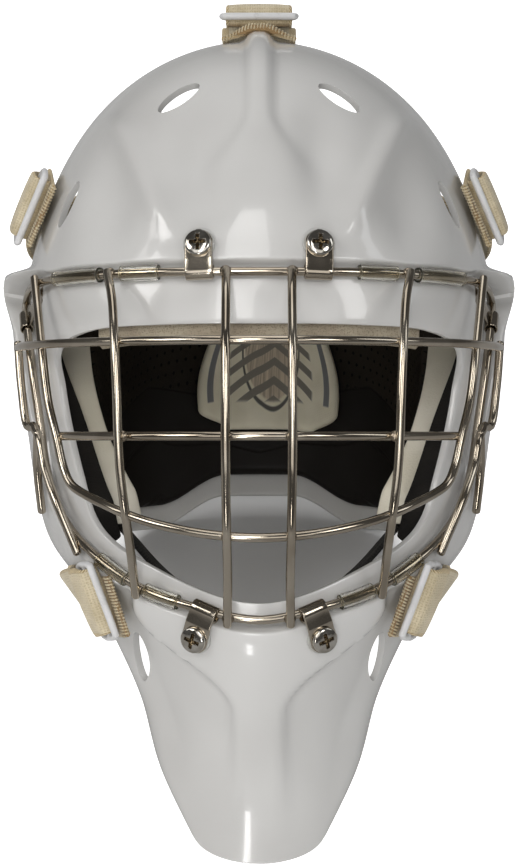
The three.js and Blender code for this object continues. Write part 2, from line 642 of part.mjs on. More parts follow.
// A closed solid through rings of equal count, with flat ends.
function loft(rings) {
  const count = rings[0].length;
  const triangles = [];
  rings.slice(1).forEach((_, k) => {
    for (let i = 0; i < count; i += 1) {
      const [a, b] = [k * count + i, k * count + (i + 1) % count];
      triangles.push(a, b + count, b, a, a + count, b + count);
    }
  });
  const end = (rings.length - 1) * count;
  for (let i = 1; i < count - 1; i += 1) {
    triangles.push(0, i, i + 1, end, end + i + 1, end + i);
  }
  return geometryFrom(rings.flat(), triangles);
}

const SLIDER = { halfWidth: 19, length: 14.8, side: 2.2, bar: 2.8, thickness: 3.2, height: 6.6, from: 6 };


// The folded strap: a sewn lower leg that goes on to the back plate, and an upper leg that comes
// forward over the slider's rear and middle bars and turns down behind its front bar.
function makeStrap(route, { width, sewn }) {
  const low = STRAP_STANDOFF + ELASTIC / 2;
  const high = SLIDER.height + SLIDER.thickness / 2 + 3 * GAP + ELASTIC / 2;
  const fold = SLIDER.from + SLIDER.bar + 0.5 + ELASTIC / 2;
  const lower = [[sewn.from, low], [12, low], [24, low], [38, low]];
  const rest = Math.round((route.length - 38) / 16);
  for (let k = 1; k <= rest; k += 1) {
    lower.push([mix(38, route.length, k / rest), low]);
  }
  const upper = [[fold + 4, low + 1.2], [fold + 1, low + 1.8], [fold, low + 3.4], [fold, high - 1.7],
    [fold + 0.6, high - 0.5], [fold + 2.2, high], [fold + 10.5, high + 0.1], [fold + 21, low + 1]];
  return joined([band(route, lower, sewn.width, sewn.shift), band(route, upper, width)]);
}

// A three-bar slider lying over the route, its front bar ahead of the strap's fold.
function makeSlider() {
  const { halfWidth, length, side, bar, thickness } = SLIDER;
  const corner = 4.2;
  const ring = new THREE.Shape();
  ring.absarc(halfWidth - corner, length - corner, corner, 0, Math.PI / 2, false);
  ring.absarc(corner - halfWidth, length - corner, corner, Math.PI / 2, Math.PI, false);
  ring.absarc(corner - halfWidth, corner, corner, Math.PI, 1.5 * Math.PI, false);
  ring.absarc(halfWidth - corner, corner, corner, 1.5 * Math.PI, 2 * Math.PI, false);
  const slot = (length - 3 * bar) / 2;
  const inside = halfWidth - side;
  for (const low of [bar, 2 * bar + slot]) {
    const hole = new THREE.Path();
    hole.moveTo(-inside, low).lineTo(inside, low).lineTo(inside, low + slot).lineTo(-inside, low + slot);
    ring.holes.push(hole);
  }
  const body = new THREE.ExtrudeGeometry(ring, { depth: thickness, bevelEnabled: false, curveSegments: 2 });
  return body.translate(0, 0, -thickness / 2);
}

// ---------------------------------------------------------------- back plate and padding
// A point of the back plate `depth` below its outer face; its lower edge arches over the nape.
function platePoint(u, v, depth) {
  const { point, normal } = frameOf(PLATE_SECTIONS, u, v);
  const arch = smooth(NAPE_ARCH.inner, NAPE_ARCH.outer, Math.abs(point.x)) * smooth(0.72, 1, v);
  point.addScaledVector(normal, -depth);
  point.z -= NAPE_ARCH.drop * arch;
  return point;
}

// A closed pad between two depths of a surface, with a row of points at each v of `rows`. `edge(v)`
// gives the range of u there, and the two depths are functions of v too.
function pad(pointAt, rows, columns, edge, outerDepth, innerDepth, isInward) {
  const grid = (depth) => rows.map((v) => {
    const [from, to] = edge(v);
    const across = (c) => mix(from, to, c / columns);
    return Array.from({ length: columns + 1 }, (__, c) => pointAt(across(c), v, depth(v)));
  });
  const [near, far] = isInward ? [innerDepth, outerDepth] : [outerDepth, innerDepth];
  return wall(grid(near), grid(far), false);
}

const plainShell = (u, v, depth) => {
  const { point, normal } = frameOf(SHELL_SECTIONS, u, v);
  return point.addScaledVector(normal, -depth);
};

const LINER = { from: RECESS_DEPTH + SHELL_WALL + 1.4, thin: 6, thick: 11 };
const CHEEK = { thickness: 10.5 };
const FOREHEAD = { thickness: 8 };
const PLATE_FOAM = { thickness: 10 };
const OCCIPITAL = { thickness: 7, offCentre: 0.04 };
const SLING = { width: 22, thickness: 3 };
const SLING_ROUTE = [[65.9, -19.2, -40.3], [58, -24, -49.4], [44, -30, -64], [26, -35, -77],
  [0, -38, -84]];

function makeSling() {
  const half = SLING_ROUTE.map((p) => vec(...p));
  const whole = [...mirrored(half, -1), ...half.slice(0, -1).reverse()];
  const line = new THREE.CatmullRomCurve3(whole, false, 'centripetal');
  const rings = [];
  const steps = 18;
  for (let k = 0; k <= steps; k += 1) {
    const point = line.getPointAt(k / steps);
    const along = line.getTangentAt(k / steps);
    const width = vec(0, 1, 0).addScaledVector(along, -along.y).normalize();
    const up = width.clone().cross(along);
    const corner = (a, b) => point.clone().addScaledVector(width, a * SLING.width / 2)
      .addScaledVector(up, b * SLING.thickness / 2);
    rings.push([corner(-1, 1), corner(-1, -1), corner(1, -1), corner(1, 1)]);
  }
  return loft(rings);
}

// ---------------------------------------------------------------- assembly
const FINISH = {
  shell: { color: 0xdddcd8, roughness: 0.1 },
  steel: { color: 0xb9b2a6, roughness: 0.15, metalness: 1 },
  screw: { color: 0xc4c2bd, roughness: 0.2, metalness: 1 },
  washer: { color: 0xdad9d0, roughness: 0.3 },
  tubing: { color: 0xe6e2d2, roughness: 0.15 },
  elastic: { color: 0xc9bd9c, roughness: 0.9 },
  slider: { color: 0xd8d8da, roughness: 0.35 },
  plate: { color: 0xd9d8d4, roughness: 0.3 },
  black_foam: { color: 0x1d1b18, roughness: 0.9 },
  cream_foam: { color: 0xbdb6a2, roughness: 0.8 },
  beige_foam: { color: 0xa89a80, roughness: 0.85 },
  webbing: { color: 0x161614, roughness: 0.85 },
};

const mask = new THREE.Group();

function addPiece(name, geometry, finish, matrix) {
  const mesh = new THREE.Mesh(geometry, new THREE.MeshStandardMaterial(FINISH[finish]));
  mesh.name = name;
  if (matrix) {
    mesh.applyMatrix4(matrix);
  }
  mask.add(mesh);
}

const SIDES = [{ half: -1, side: 'left' }, { half: 1, side: 'right' }];

const shellTools = [];
for (const { half } of SIDES) {
  VENTS.forEach((vent) => shellTools.push(slotTool(half, vent)));
  for (const clip of SCREWED_CLIPS) {
    const seat = clipSeat(clip, half);
    shellTools.push(disc(WASHER.radius + 1, 0, 6).applyMatrix4(seat));
    shellTools.push(disc(WASHER.hole, -8, 6).applyMatrix4(seat));
  }
}
const level = (depth) => () => depth;
const fullWidth = (reach) => () => [-reach, reach];
const shell = cut(makeShell(), shellTools);
const range = (from, to, count) => Array.from({ length: count }, (_, k) => mix(from, to, k / (count - 1)));
const PLATE_ROWS = range(0.055, 0.945, 9);
const backRows = [0, ...PLATE_ROWS, 1];
const backPlate = pad(platePoint, backRows, 14, fullWidth(1), level(0), level(PLATE_WALL), true);

// The mask stands by itself on its chin tip and on the back plate's two lower corners: the tilt at
// which both are equally low is found by halving, and small flats are cut where they touch.
function lowestOf(geometry, tilt) {
  const { array } = geometry.attributes.position;
  let lowest = Infinity;
  for (let i = 0; i < array.length; i += 3) {
    lowest = Math.min(lowest, array[i + 2] * Math.cos(tilt) - array[i + 1] * Math.sin(tilt));
  }
  return lowest;
}

function findTilt() {
  let low = 0;
  let high = Math.PI / 3;
  for (let step = 0; step < 40; step += 1) {
    const middle = (low + high) / 2;
    if (lowestOf(shell, middle) < lowestOf(backPlate, middle)) {
      low = middle;
    } else {
      high = middle;
    }
  }
  return (low + high) / 2;
}

const TILT = findTilt();
const floorTool = new THREE.BoxGeometry(600, 600, 40);
floorTool.translate(0, 0, lowestOf(shell, TILT) + FOOT_TRIM - 20);
floorTool.applyMatrix4(new THREE.Matrix4().makeRotationX(TILT));
addPiece('shell', cut(shell, [floorTool]), 'shell');
addPiece('back_plate', cut(backPlate, [floorTool]), 'plate');
addPiece('cage', makeCage(), 'steel');

for (const { half, side } of SIDES) {
  for (const clip of SCREWED_CLIPS) {
    const seat = clipSeat(clip, half);
    addPiece(`clip_${clip.name}_${side}`, makeScrewedClip(clip, half), 'steel');
    addPiece(`washer_${clip.name}_${side}`, makeWasher(), 'washer', seat);
    addPiece(`screw_${clip.name}_${side}`, makeScrew(), 'screw', seat);
  }
  addPiece(`clip_side_${side}`, makeSideClip(half), 'steel');
  for (const run of TUBING_RUNS) {
    addPiece(`tubing_${run.name}_${side}`, makeTubing(run, half), 'tubing');
  }
}

// Straps: the (u, v) of each one's stops on the shell and on the back plate, right half.
const upperStart = shellUV(97, 99.5);
const lowerStart = shellUV(60, -71.5);
const STRAPS = [{
  name: 'top',
  shell: [[0, 0.052], [0, 0.026], [0, 0]],
  plate: [[0, 0.03], [0, 0.12], [0, 0.28]],
  roll: 0,
  lift: 0.3,
  width: 32,
  sewn: { from: 0, width: 36, shift: 0 },
}];
for (const { half, side } of SIDES) {
  const onSide = (spots) => spots.map(([u, v]) => [half * u, v]);
  const halfway = (start, end) => [mix(start.u, end[0], 0.5), mix(start.v, end[1], 0.5)];
  const upper = [[upperStart.u, upperStart.v], halfway(upperStart, [0.87, 0]), [0.87, 0]];
  const lower = [[lowerStart.u, lowerStart.v], halfway(lowerStart, [1, 0.75]), [1, 0.75]];
  STRAPS.push({
    name: `upper_${side}`,
    shell: onSide(upper),
    plate: onSide([[0.85, 0.06], [0.76, 0.16], [0.62, 0.24]]),
    roll: 0,
    lift: 3.1,
    width: 30,
    sewn: { from: 0, width: 31.5, shift: 0 },
  });
  STRAPS.push({
    name: `lower_${side}`,
    shell: onSide(lower),
    plate: onSide([[1, 0.865], [0.86, 0.82], [0.72, 0.78]]),
    roll: half * -7,
    lift: 4.4,
    width: 31,
    sewn: { from: 4, width: 29, shift: half * -5 },
  });
}
for (const strap of STRAPS) {
  const { name } = strap;
  const route = makeRoute(strap);
  addPiece(`strap_${name}`, makeStrap(route, strap), 'elastic');
  const { point, along, normal } = routeAt(route, SLIDER.from + SLIDER.length / 2);
  const front = point.addScaledVector(along, -SLIDER.length / 2).addScaledVector(normal, SLIDER.height);
  addPiece(`slider_${name}`, makeSlider(), 'slider', placed(front, normal, along.clone().cross(normal)));
}

// Padding inside the back plate.
const foamFrom = PLATE_WALL + 1.3;
const foamTo = foamFrom + PLATE_FOAM.thickness;
const padFrom = foamTo + 1.8;
const padTo = padFrom + OCCIPITAL.thickness;
function padEdge(v) {
  const reach = mix(0.185, 0.29, smooth(0.5, 0.76, v)) * (1 - 0.4 * smooth(0.8, 0.86, v));
  return [OCCIPITAL.offCentre - reach, OCCIPITAL.offCentre + reach];
}
const plateFoam = pad(platePoint, PLATE_ROWS, 14, fullWidth(0.95), level(foamFrom), level(foamTo), true);
const occipitalPad = pad(platePoint, range(0.4, 0.86, 9), 6, padEdge, level(padFrom), level(padTo), true);
addPiece('back_plate_foam', plateFoam, 'black_foam');
addPiece('occipital_pad', occipitalPad, 'cream_foam');

// Padding inside the face shell.
const linerTo = (v) => LINER.from + mix(LINER.thin, LINER.thick, smooth(0.38, 0.56, v));
const cheekFrom = (v) => linerTo(v) + 1;
const cheekTo = (v) => cheekFrom(v) + CHEEK.thickness;
const cheekFront = (v) => mix(0.86, 0.585, clamp01((v - 0.385) / 0.19) ** 1.35);
for (const { half, side } of SIDES) {
  const between = (front, back) => (v) => (half > 0 ? [front(v), back] : [-back, -front(v)]);
  const linerEdge = between((v) => cheekFront(v) - 0.06, 0.965);
  const cheekEdge = between(cheekFront, 0.95);
  const liner = pad(plainShell, range(0.385, 0.62, 6), 4, linerEdge, level(LINER.from), linerTo);
  const cheek = pad(plainShell, range(0.39, 0.6, 6), 4, cheekEdge, cheekFrom, cheekTo);
  addPiece(`cheek_liner_${side}`, liner, 'black_foam');
  addPiece(`cheek_pad_${side}`, cheek, 'cream_foam');
}
const foreheadTo = LINER.from + FOREHEAD.thickness;
const foreheadFrom = LINER.from + 0.2;
const foreheadRows = range(0.345, 0.43, 3);
const forehead = pad(plainShell, foreheadRows, 12, fullWidth(0.45), level(foreheadFrom), level(foreheadTo));
addPiece('forehead_pad', forehead, 'beige_foam');
addPiece('chin_sling', makeSling(), 'webbing');

// Tilt the whole mask and set it on the floor, centred over the origin.
mask.rotation.x = -TILT;
mask.updateMatrixWorld(true);
const extent = new THREE.Box3().setFromObject(mask, true);
mask.position.set(0, -(extent.min.y + extent.max.y) / 2, -extent.min.z);

const model = new THREE.Group();
model.name = 'goalie_mask';
model.add(mask);
model.updateMatrixWorld(true);

export default model;
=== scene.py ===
import math

import bmesh
import bpy
import numpy as np
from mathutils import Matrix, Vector


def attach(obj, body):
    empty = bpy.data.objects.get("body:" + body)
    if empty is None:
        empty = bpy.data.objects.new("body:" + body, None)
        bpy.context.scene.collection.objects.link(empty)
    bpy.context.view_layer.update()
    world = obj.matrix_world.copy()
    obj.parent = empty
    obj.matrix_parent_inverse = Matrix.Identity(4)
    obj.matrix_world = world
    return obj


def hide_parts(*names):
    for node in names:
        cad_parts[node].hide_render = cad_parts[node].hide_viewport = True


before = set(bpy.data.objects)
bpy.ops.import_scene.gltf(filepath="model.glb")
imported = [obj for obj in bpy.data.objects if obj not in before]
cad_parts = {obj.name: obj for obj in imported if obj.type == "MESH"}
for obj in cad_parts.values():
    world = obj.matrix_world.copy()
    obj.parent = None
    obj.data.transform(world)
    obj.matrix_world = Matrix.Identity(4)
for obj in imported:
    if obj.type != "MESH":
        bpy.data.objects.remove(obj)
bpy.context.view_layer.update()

# ---------------------------------------------------------------- camera, lights and floor
# The mask is drawn in its own upright frame in millimetres: X across the face, Y backwards, Z up the
# face. It leans back by LEAN until it stands on its chin tip and on the corners of its back plate. The
# camera looks it straight in the face.
LEAN = math.radians(34.84977577866629)
STAND_Y = -13.092543
STAND_Z = 122.337774
CAMERA_AWAY = 1300


def stand(points, floor=0.05):
    """Upright frame in mm to the standing mask in m: turned about X by -LEAN, shifted, kept above floor."""
    x, y, z = np.moveaxis(np.asarray(points, float), -1, 0)
    across = y * math.cos(LEAN) + z * math.sin(LEAN) + STAND_Y
    up = z * math.cos(LEAN) - y * math.sin(LEAN) + STAND_Z
    return np.stack([x, across, np.maximum(up, floor)], axis=-1) / 1000


def aim(holder, place, target):
    """Puts a camera or lamp at `place` with its view towards `target`, both in the upright frame."""
    start = Vector(stand(place, floor=-9000))
    holder.location = start
    towards = Vector(stand(target, floor=-9000)) - start
    holder.rotation_euler = towards.to_track_quat("-Z", "Y").to_euler()
    bpy.context.scene.collection.objects.link(holder)


camera_data = bpy.data.cameras.new("camera")
camera_data.lens = 114.53
camera_data.sensor_width = 36
camera_data.shift_y = 0.0017
camera = bpy.data.objects.new("camera", camera_data)
aim(camera, (0, -CAMERA_AWAY, 0), (0, 0, 0))
bpy.context.scene.camera = camera
bpy.context.scene.view_settings.view_transform = "Standard"

LAMPS_AWAY_FROM_GLOSS = ("top", "low_front")
SOFT_BOXES = [
    # name, place, target, width, height, power, colour
    ("front_wide", (-120, -1900, 0), (0, 0, 0), 2000, 1050, 7.5, (1, 0.99, 0.98)),
    ("front_box", (-150, -1750, 430), (0, 0, 0), 300, 1250, 6, (1, 0.99, 0.975)),
    ("front_left", (-1230, -1260, 640), (0, 0, 0), 560, 760, 7.8, (1, 0.99, 0.975)),
    ("over_cage", (-60, -250, 1300), (0, -110, 60), 700, 1300, 4, (1, 0.99, 0.975)),
    ("front_right", (1000, -1600, 420), (0, 0, 0), 400, 700, 4.2, (1, 0.99, 0.98)),
    ("low_middle", (-230, -1350, -720), (0, 0, -120), 130, 300, 1.5, (1, 0.99, 0.98)),
    ("fill_left", (-1100, -500, 520), (0, 0, 60), 250, 700, 1.4, (1, 0.99, 0.97)),
    ("fill_right", (1000, -450, 520), (0, 0, 60), 250, 700, 1.1, (0.95, 0.975, 1)),
    ("top", (-150, 250, 1300), (0, 0, 60), 900, 700, 8, (1, 1, 1)),
    ("low_front", (0, -1250, -850), (0, 0, -140), 600, 500, 2.4, (1, 1, 1)),
]
# The lamp over the cage lights only the pieces in this collection.
lit_from_above = bpy.data.collections.new("lit_from_above")
for name, place, target, width, height, power, colour in SOFT_BOXES:
    box_data = bpy.data.lights.new(name, "AREA")
    box_data.shape = "RECTANGLE"
    box_data.size = width / 1000
    box_data.size_y = height / 1000
    box_data.energy = power
    box_data.color = colour
    box = bpy.data.objects.new(name, box_data)
    box.visible_glossy = name not in LAMPS_AWAY_FROM_GLOSS
    if name == "over_cage":
        box.light_linking.receiver_collection = lit_from_above
    aim(box, place, target)

world = bpy.data.worlds.new("studio")
world.use_nodes = True
world.node_tree.nodes["Background"].inputs["Color"].default_value = (1, 1, 1, 1)
world.node_tree.nodes["Background"].inputs["Strength"].default_value = 0.1
bpy.context.scene.world = world

FLOOR_REACH = 4
floor_mesh = bpy.data.meshes.new("floor")
floor_corners = [(x * FLOOR_REACH, y * FLOOR_REACH, 0) for x, y in ((-1, -1), (1, -1), (1, 1), (-1, 1))]
floor_mesh.from_pydata(floor_corners, [], [(0, 1, 2, 3)])
floor = bpy.data.objects.new("floor", floor_mesh)
bpy.context.scene.collection.objects.link(floor)


def new_material(name, **values):
    """A material with one Principled shader; `values` are its plain socket numbers and colours."""
    material = bpy.data.materials.new(name)
    material.use_nodes = True
    shader = material.node_tree.nodes["Principled BSDF"]
    for socket, value in values.items():
        shader.inputs[socket.replace("_", " ")].default_value = value
    return material, material.node_tree, shader


def add_node(tree, kind, feeds=None, **settings):
    """A new shader node: `settings` are its attributes, `feeds` its inputs, each a value or an output."""
    node = tree.nodes.new(kind)
    for key, value in settings.items():
        setattr(node, key, value)
    for key, value in (feeds or {}).items():
        if isinstance(value, bpy.types.NodeSocket):
            tree.links.new(value, node.inputs[key])
        else:
            node.inputs[key].default_value = value
    return node


def calculate(tree, operation, *values):
    """The output of a Math node with these numbers or sockets."""
    return add_node(tree, "ShaderNodeMath", dict(enumerate(values)), operation=operation).outputs[0]


def ramp(tree, value, low, high, to_low=0.0, to_high=1.0):
    """A soft step of a value: to_low below low, to_high above high."""
    feeds = {"Value": value, "From Min": low, "From Max": high, "To Min": to_low, "To Max": to_high}
    return add_node(tree, "ShaderNodeMapRange", feeds, interpolation_type="SMOOTHSTEP").outputs[0]


def two_tone(tree, share, first, second):
    """The colour that is `share` of the way from the first to the second."""
    return add_node(tree, "ShaderNodeMix", {0: share, 6: first, 7: second}, data_type="RGBA").outputs[2]


def object_place(tree):
    """The place on the object, in metres, for a pattern that runs right through it."""
    return add_node(tree, "ShaderNodeTexCoord").outputs["Object"]


# Bright paper lit from below, with a painted shadow under the mask's neck opening: an unlit patch where
# the paper does not glow. It glows less, and is greyer in glossy reflections, than where it is seen
# straight.
SHADOW_PATCH_MIDDLE = (0, -0.06, 0)
SHADOW_PATCH_SIZE = (15.2, 11.8, 1)
GLOW_SEEN = 0.95
GLOW_ON_MASK = 0.14
paper, tree, shader = new_material("backdrop_paper", Roughness=0.9, Emission_Color=(1, 1, 1, 1))
spread = object_place(tree)
for operation, measure in (("ADD", SHADOW_PATCH_MIDDLE), ("MULTIPLY", SHADOW_PATCH_SIZE)):
    feeds = {0: spread, 1: measure}
    spread = add_node(tree, "ShaderNodeVectorMath", feeds, operation=operation).outputs[0]
reach = add_node(tree, "ShaderNodeVectorMath", {0: spread}, operation="LENGTH").outputs["Value"]
rays = add_node(tree, "ShaderNodeLightPath").outputs
paper_shade = two_tone(tree, rays["Is Glossy Ray"], (0.75, 0.75, 0.75, 1), (0.25, 0.25, 0.25, 1))
tree.links.new(paper_shade, shader.inputs["Base Color"])
glow = calculate(tree, "MULTIPLY_ADD", rays["Is Camera Ray"], GLOW_SEEN - GLOW_ON_MASK, GLOW_ON_MASK)
# Painted shadow: the paper does not glow within the patch under the mask.
paper_glow = calculate(tree, "MULTIPLY", glow, ramp(tree, reach, 0.95, 1.35))
tree.links.new(paper_glow, shader.inputs["Emission Strength"])
floor_mesh.materials.append(paper)

# ---------------------------------------------------------------- the face shell
# One moulding of white composite with a glossy gelcoat: a tall dome over the face, with a sunk seat for
# the cage round the face opening and a long chin. The vents and screw holes are cut after moulding.
SHELL_ROWS = np.array([
    # front Y and Z, side X, Y and Z, then the two powers of the section's curve
    (38, 191, 106, 58, 78, 2.0, 2.0),
    (4, 185, 108, 61, 71, 2.05, 2.1),
    (-31, 168, 110, 63, 64, 2.1, 2.3),
    (-61, 140, 112, 64, 56, 2.2, 2.5),
    (-82, 108, 113.5, 65, 46, 2.3, 2.8),
    (-93, 76, 114.5, 65, 34, 2.45, 3.1),
    (-95, 42, 112.8, 64, 20, 2.5, 3.2),
    (-94, 4, 109.3, 62, 2, 2.5, 3.2),
    (-94, -36, 106.5, 57, -18, 2.4, 3.0),
    (-96, -70, 100.5, 48, -40, 2.15, 2.5),
    (-96, -94, 85, 34, -62, 1.95, 2.1),
    (-88, -116, 70, 14, -88, 1.9, 2.0),
    (-77, -140, 56, -10, -116, 1.95, 2.1),
    (-69, -166, 46, -34, -148, 2.0, 2.2),
    (-65, -193, 30.5, -54, -179, 2.0, 2.0),
])
FACE_OPENING = [(0, 48.6), (45, 48.2), (79, 46.2), (96.5, 38), (94.8, 20), (91.4, 2), (85.6, -19), (79, -39),
                (67.4, -51), (44.8, -62), (20.5, -71), (0, -74)]
CAGE_OUTLINE = [(0, 71.4), (40, 71.4), (68, 71), (92, 70.5), (106, 68.8), (111.2, 62.5), (110, 54),
                (108, 42), (102.6, 8), (98.8, -16), (92.5, -34), (80, -50), (54, -68), (25, -77),
                (0, -81.4)]
SHELL_WALL = 3.2
SEAT_DEPTH = 5
SHELL_COLUMNS = 432
RIM_NOSE = 0.8
CREASE = 38


def mix(a, b, t):
    """The value t of the way from a to b."""
    return a + (b - a) * t


def smooth(low, high, x):
    """A soft step: 0 below low, 1 above high, 3t^2 - 2t^3 between."""
    t = np.clip((np.asarray(x, float) - low) / (high - low), 0, 1)
    return t * t * (3 - 2 * t)


def bump(x, width):
    """A round bump: e to the minus (x / width)^2."""
    return np.exp(-((x / width) ** 2))


def catmull(a, b, c, d, t):
    """The uniform Catmull-Rom curve between b and c, with a and d as its neighbours."""
    return 0.5 * (2 * b + (c - a) * t + (2 * a - 5 * b + 4 * c - d) * t**2 + (3 * b - a - 3 * c + d) * t**3)


def rows_at(rows, v):
    """The section's seven values at v = 0..1, a Catmull-Rom curve through the rows of the table."""
    place = np.clip(v, 0, 1) * (len(rows) - 1)
    i = np.minimum(place.astype(int), len(rows) - 2)
    t = (place - i)[..., None]
    after = np.minimum(i + 2, len(rows) - 1)
    return catmull(rows[np.maximum(i - 1, 0)], rows[i], rows[i + 1], rows[after], t)


def section(rows, u, v):
    """A section's point: x / sideX = sin(u 90)^(2/p); y, z blend from side to front by cos(u 90)^(2/q)."""
    front_y, front_z, side_x, side_y, side_z, p, q = np.moveaxis(rows_at(rows, v), -1, 0)
    angle = np.minimum(1, np.abs(u)) * math.pi / 2
    across = np.sin(angle) ** (2 / p)
    depth = np.maximum(0, np.cos(angle)) ** (2 / q)
    x = np.sign(u) * side_x * across
    return np.stack([x, mix(side_y, front_y, depth), mix(side_z, front_z, depth)], -1)


def unit(vectors):
    """Vectors of length 1."""
    return vectors / np.maximum(np.linalg.norm(vectors, axis=-1, keepdims=True), 1e-9)


def facing(rows, u, v, turn=1):
    """The outward normal: the cross product of short steps down and along the surface."""
    step = 0.004
    along = section(rows, np.minimum(1, u + step), v) - section(rows, np.maximum(-1, u - step), v)
    down = section(rows, u, np.minimum(1, v + step)) - section(rows, u, np.maximum(0, v - step))
    return unit(turn * np.cross(down, along))


def shell_uv(x, z):
    """The u and v of the shell's point seen at (x, z) from the front, found by halving the range of v."""
    x, z = np.broadcast_arrays(np.asarray(x, float), np.asarray(z, float))
    top = np.zeros(x.shape)
    bottom = np.ones(x.shape)
    for _ in range(34):
        middle = (top + bottom) / 2
        _, front_z, side_x, _, side_z, p, q = np.moveaxis(rows_at(SHELL_ROWS, middle), -1, 0)
        across = np.minimum(1, np.abs(x) / side_x)
        height = mix(side_z, front_z, (1 - across**p) ** (1 / q))
        top = np.where(height > z, middle, top)
        bottom = np.where(height > z, bottom, middle)
    u = np.arcsin(np.minimum(1, across ** (p / 2))) * 2 / math.pi
    return np.sign(x) * u, (top + bottom) / 2


def evenly(points, count, closed=True):
    """`count` places evenly spaced along a polyline, as its points and their values in every column."""
    lengths = np.r_[0, np.cumsum(np.linalg.norm(np.diff(points[:, :3], axis=0), axis=1))]
    want = np.linspace(0, lengths[-1], count + 1)[:-1] if closed else np.linspace(0, lengths[-1], count)
    return np.stack([np.interp(want, lengths, column) for column in points.T], -1)


def whole_outline(half, count):
    """A closed outline (x, z) from its right half: Catmull-Rom through the knots, evenly spaced."""
    knots = np.array(half + [(-x, z) for x, z in half[-2:0:-1]], float)
    t = np.linspace(0, 1, 17)[:-1, None, None]
    around = [np.roll(knots, shift, axis=0)[None] for shift in (1, 0, -1, -2)]
    fine = np.swapaxes(catmull(*around, t), 0, 1).reshape(-1, 2)
    fine = np.vstack([fine, fine[:1]])
    flat = np.stack([fine[:, 0], np.zeros(len(fine)), fine[:, 1]], -1)
    return evenly(flat, count)[:, [0, 2]]


def relief(x, z, across):
    """Heights moulded on the plain sections: crown ridge, brow ridges and hollows, chin panels and ears.

    Each is its height times round bumps and soft steps of x, z or the way round to the side; they add up.
    """
    side = np.abs(x)
    ridge_width = 6.2 + 30 * (1 - smooth(98, 146, z))
    crown = mix(3.2, 4.8, smooth(150, 184, z)) * np.exp(-((side / ridge_width) ** 4)) * smooth(84, 112, z)
    lean = side - mix(45, 66, (z - 100) / 46)
    brow = 3.4 * bump(lean, 6.5) * smooth(86, 100, z) * (1 - smooth(138, 154, z))
    hollow = -4.2 * bump(side - 27, 11) * smooth(90, 110, z) * (1 - smooth(124, 160, z))
    temple = -5 * bump(side - 67, 12) * bump(z - 101, 19)
    chin_edge = 9 + 46 * smooth(-128, -78, z) ** 1.25
    chin = -4.5 * smooth(0, 6.5, side - chin_edge) * smooth(-188, -128, z)
    chin = chin * (1 - smooth(-74, -64, z)) * (1 - smooth(0.72, 0.95, across))
    ear = 1 + 3.5 * smooth(-45, 66, z) + 7 * smooth(46, 70, z)
    ear = ear * smooth(0.88, 0.98, across) * (1 - smooth(73, 80, z)) * smooth(-72, -45, z)
    return crown + brow + hollow + temple + chin + ear


def shell_point(u, v, seat, depth=0):
    """The shell's surface: section + normal * (relief, or minus SEAT_DEPTH where seat is 1, less depth)."""
    plain = section(SHELL_ROWS, u, v)
    across = np.abs(plain[..., 0]) / rows_at(SHELL_ROWS, v)[..., 2]
    height = mix(relief(plain[..., 0], plain[..., 2], across), -SEAT_DEPTH, seat) - depth
    return plain + facing(SHELL_ROWS, u, v) * height[..., None]


def on_shell(x, z, lift):
    """A point `lift` above the plain sections at (x, z) of the front view."""
    u, v = shell_uv(x, z)
    return section(SHELL_ROWS, u, v) + facing(SHELL_ROWS, u, v) * np.asarray(lift, float)[..., None]


def build_mesh(name, parts):
    """One mesh of several closed grids of points (rows, columns, 3), each joined round its rows or columns.

    A part whose signed volume, the sum of a . (b x c) over its triangles, is negative has its faces turned.
    """
    points = []
    corners = []
    maps = []
    start = 0
    for part in parts:
        grid = part["grid"]
        rows, columns = grid.shape[:2]
        index = start + np.arange(rows * columns).reshape(rows, columns)
        if part.get("round_rows"):
            index = np.vstack([index, index[:1]])
        if part.get("round_columns"):
            index = np.hstack([index, index[:, :1]])
        quads = np.stack([index[:-1, :-1], index[1:, :-1], index[1:, 1:], index[:-1, 1:]], -1).reshape(-1, 4)
        middle = grid.reshape(-1, 3) - grid.reshape(-1, 3).mean(axis=0)
        a, b, c, d = np.moveaxis(middle[quads - start], 1, 0)
        volume = np.einsum("ij,ij->", a, np.cross(b, c)) + np.einsum("ij,ij->", a, np.cross(c, d))
        corners.append(quads[:, ::-1] if volume < 0 else quads)
        points.append(grid.reshape(-1, 3))
        maps.append(part.get("map", np.zeros((rows, columns, 2))).reshape(-1, 2))
        start += rows * columns
    points = np.vstack(points)
    corners = np.vstack(corners)
    mesh = bpy.data.meshes.new(name)
    mesh.vertices.add(len(points))
    mesh.vertices.foreach_set("co", stand(points).ravel())
    mesh.loops.add(corners.size)
    mesh.loops.foreach_set("vertex_index", corners.ravel().astype(np.int32))
    mesh.polygons.add(len(corners))
    mesh.polygons.foreach_set("loop_start", np.arange(0, corners.size, 4, dtype=np.int32))
    mesh.polygons.foreach_set("loop_total", np.full(len(corners), 4, dtype=np.int32))
    layer = mesh.uv_layers.new(name="lay")
    layer.data.foreach_set("uv", np.vstack(maps)[corners.ravel()].ravel())
    mesh.update(calc_edges=True)
    mesh.validate()
    return mesh


def shade(mesh, crease=CREASE):
    """Shades smooth, with sharp edges where faces meet at over `crease` degrees."""
    mesh.polygons.foreach_set("use_smooth", np.ones(len(mesh.polygons), dtype=bool))
    mesh.set_sharp_from_angle(angle=math.radians(crease))
    mesh.update()


def tidy_faces(mesh, crease=CREASE):
    """Merges doubled points and drops faces with no area, then shades."""
    work = bmesh.new()
    work.from_mesh(mesh)
    bmesh.ops.remove_doubles(work, verts=work.verts, dist=2e-6)
    bmesh.ops.dissolve_degenerate(work, edges=work.edges, dist=1e-7)
    work.to_mesh(mesh)
    work.free()
    shade(mesh, crease)


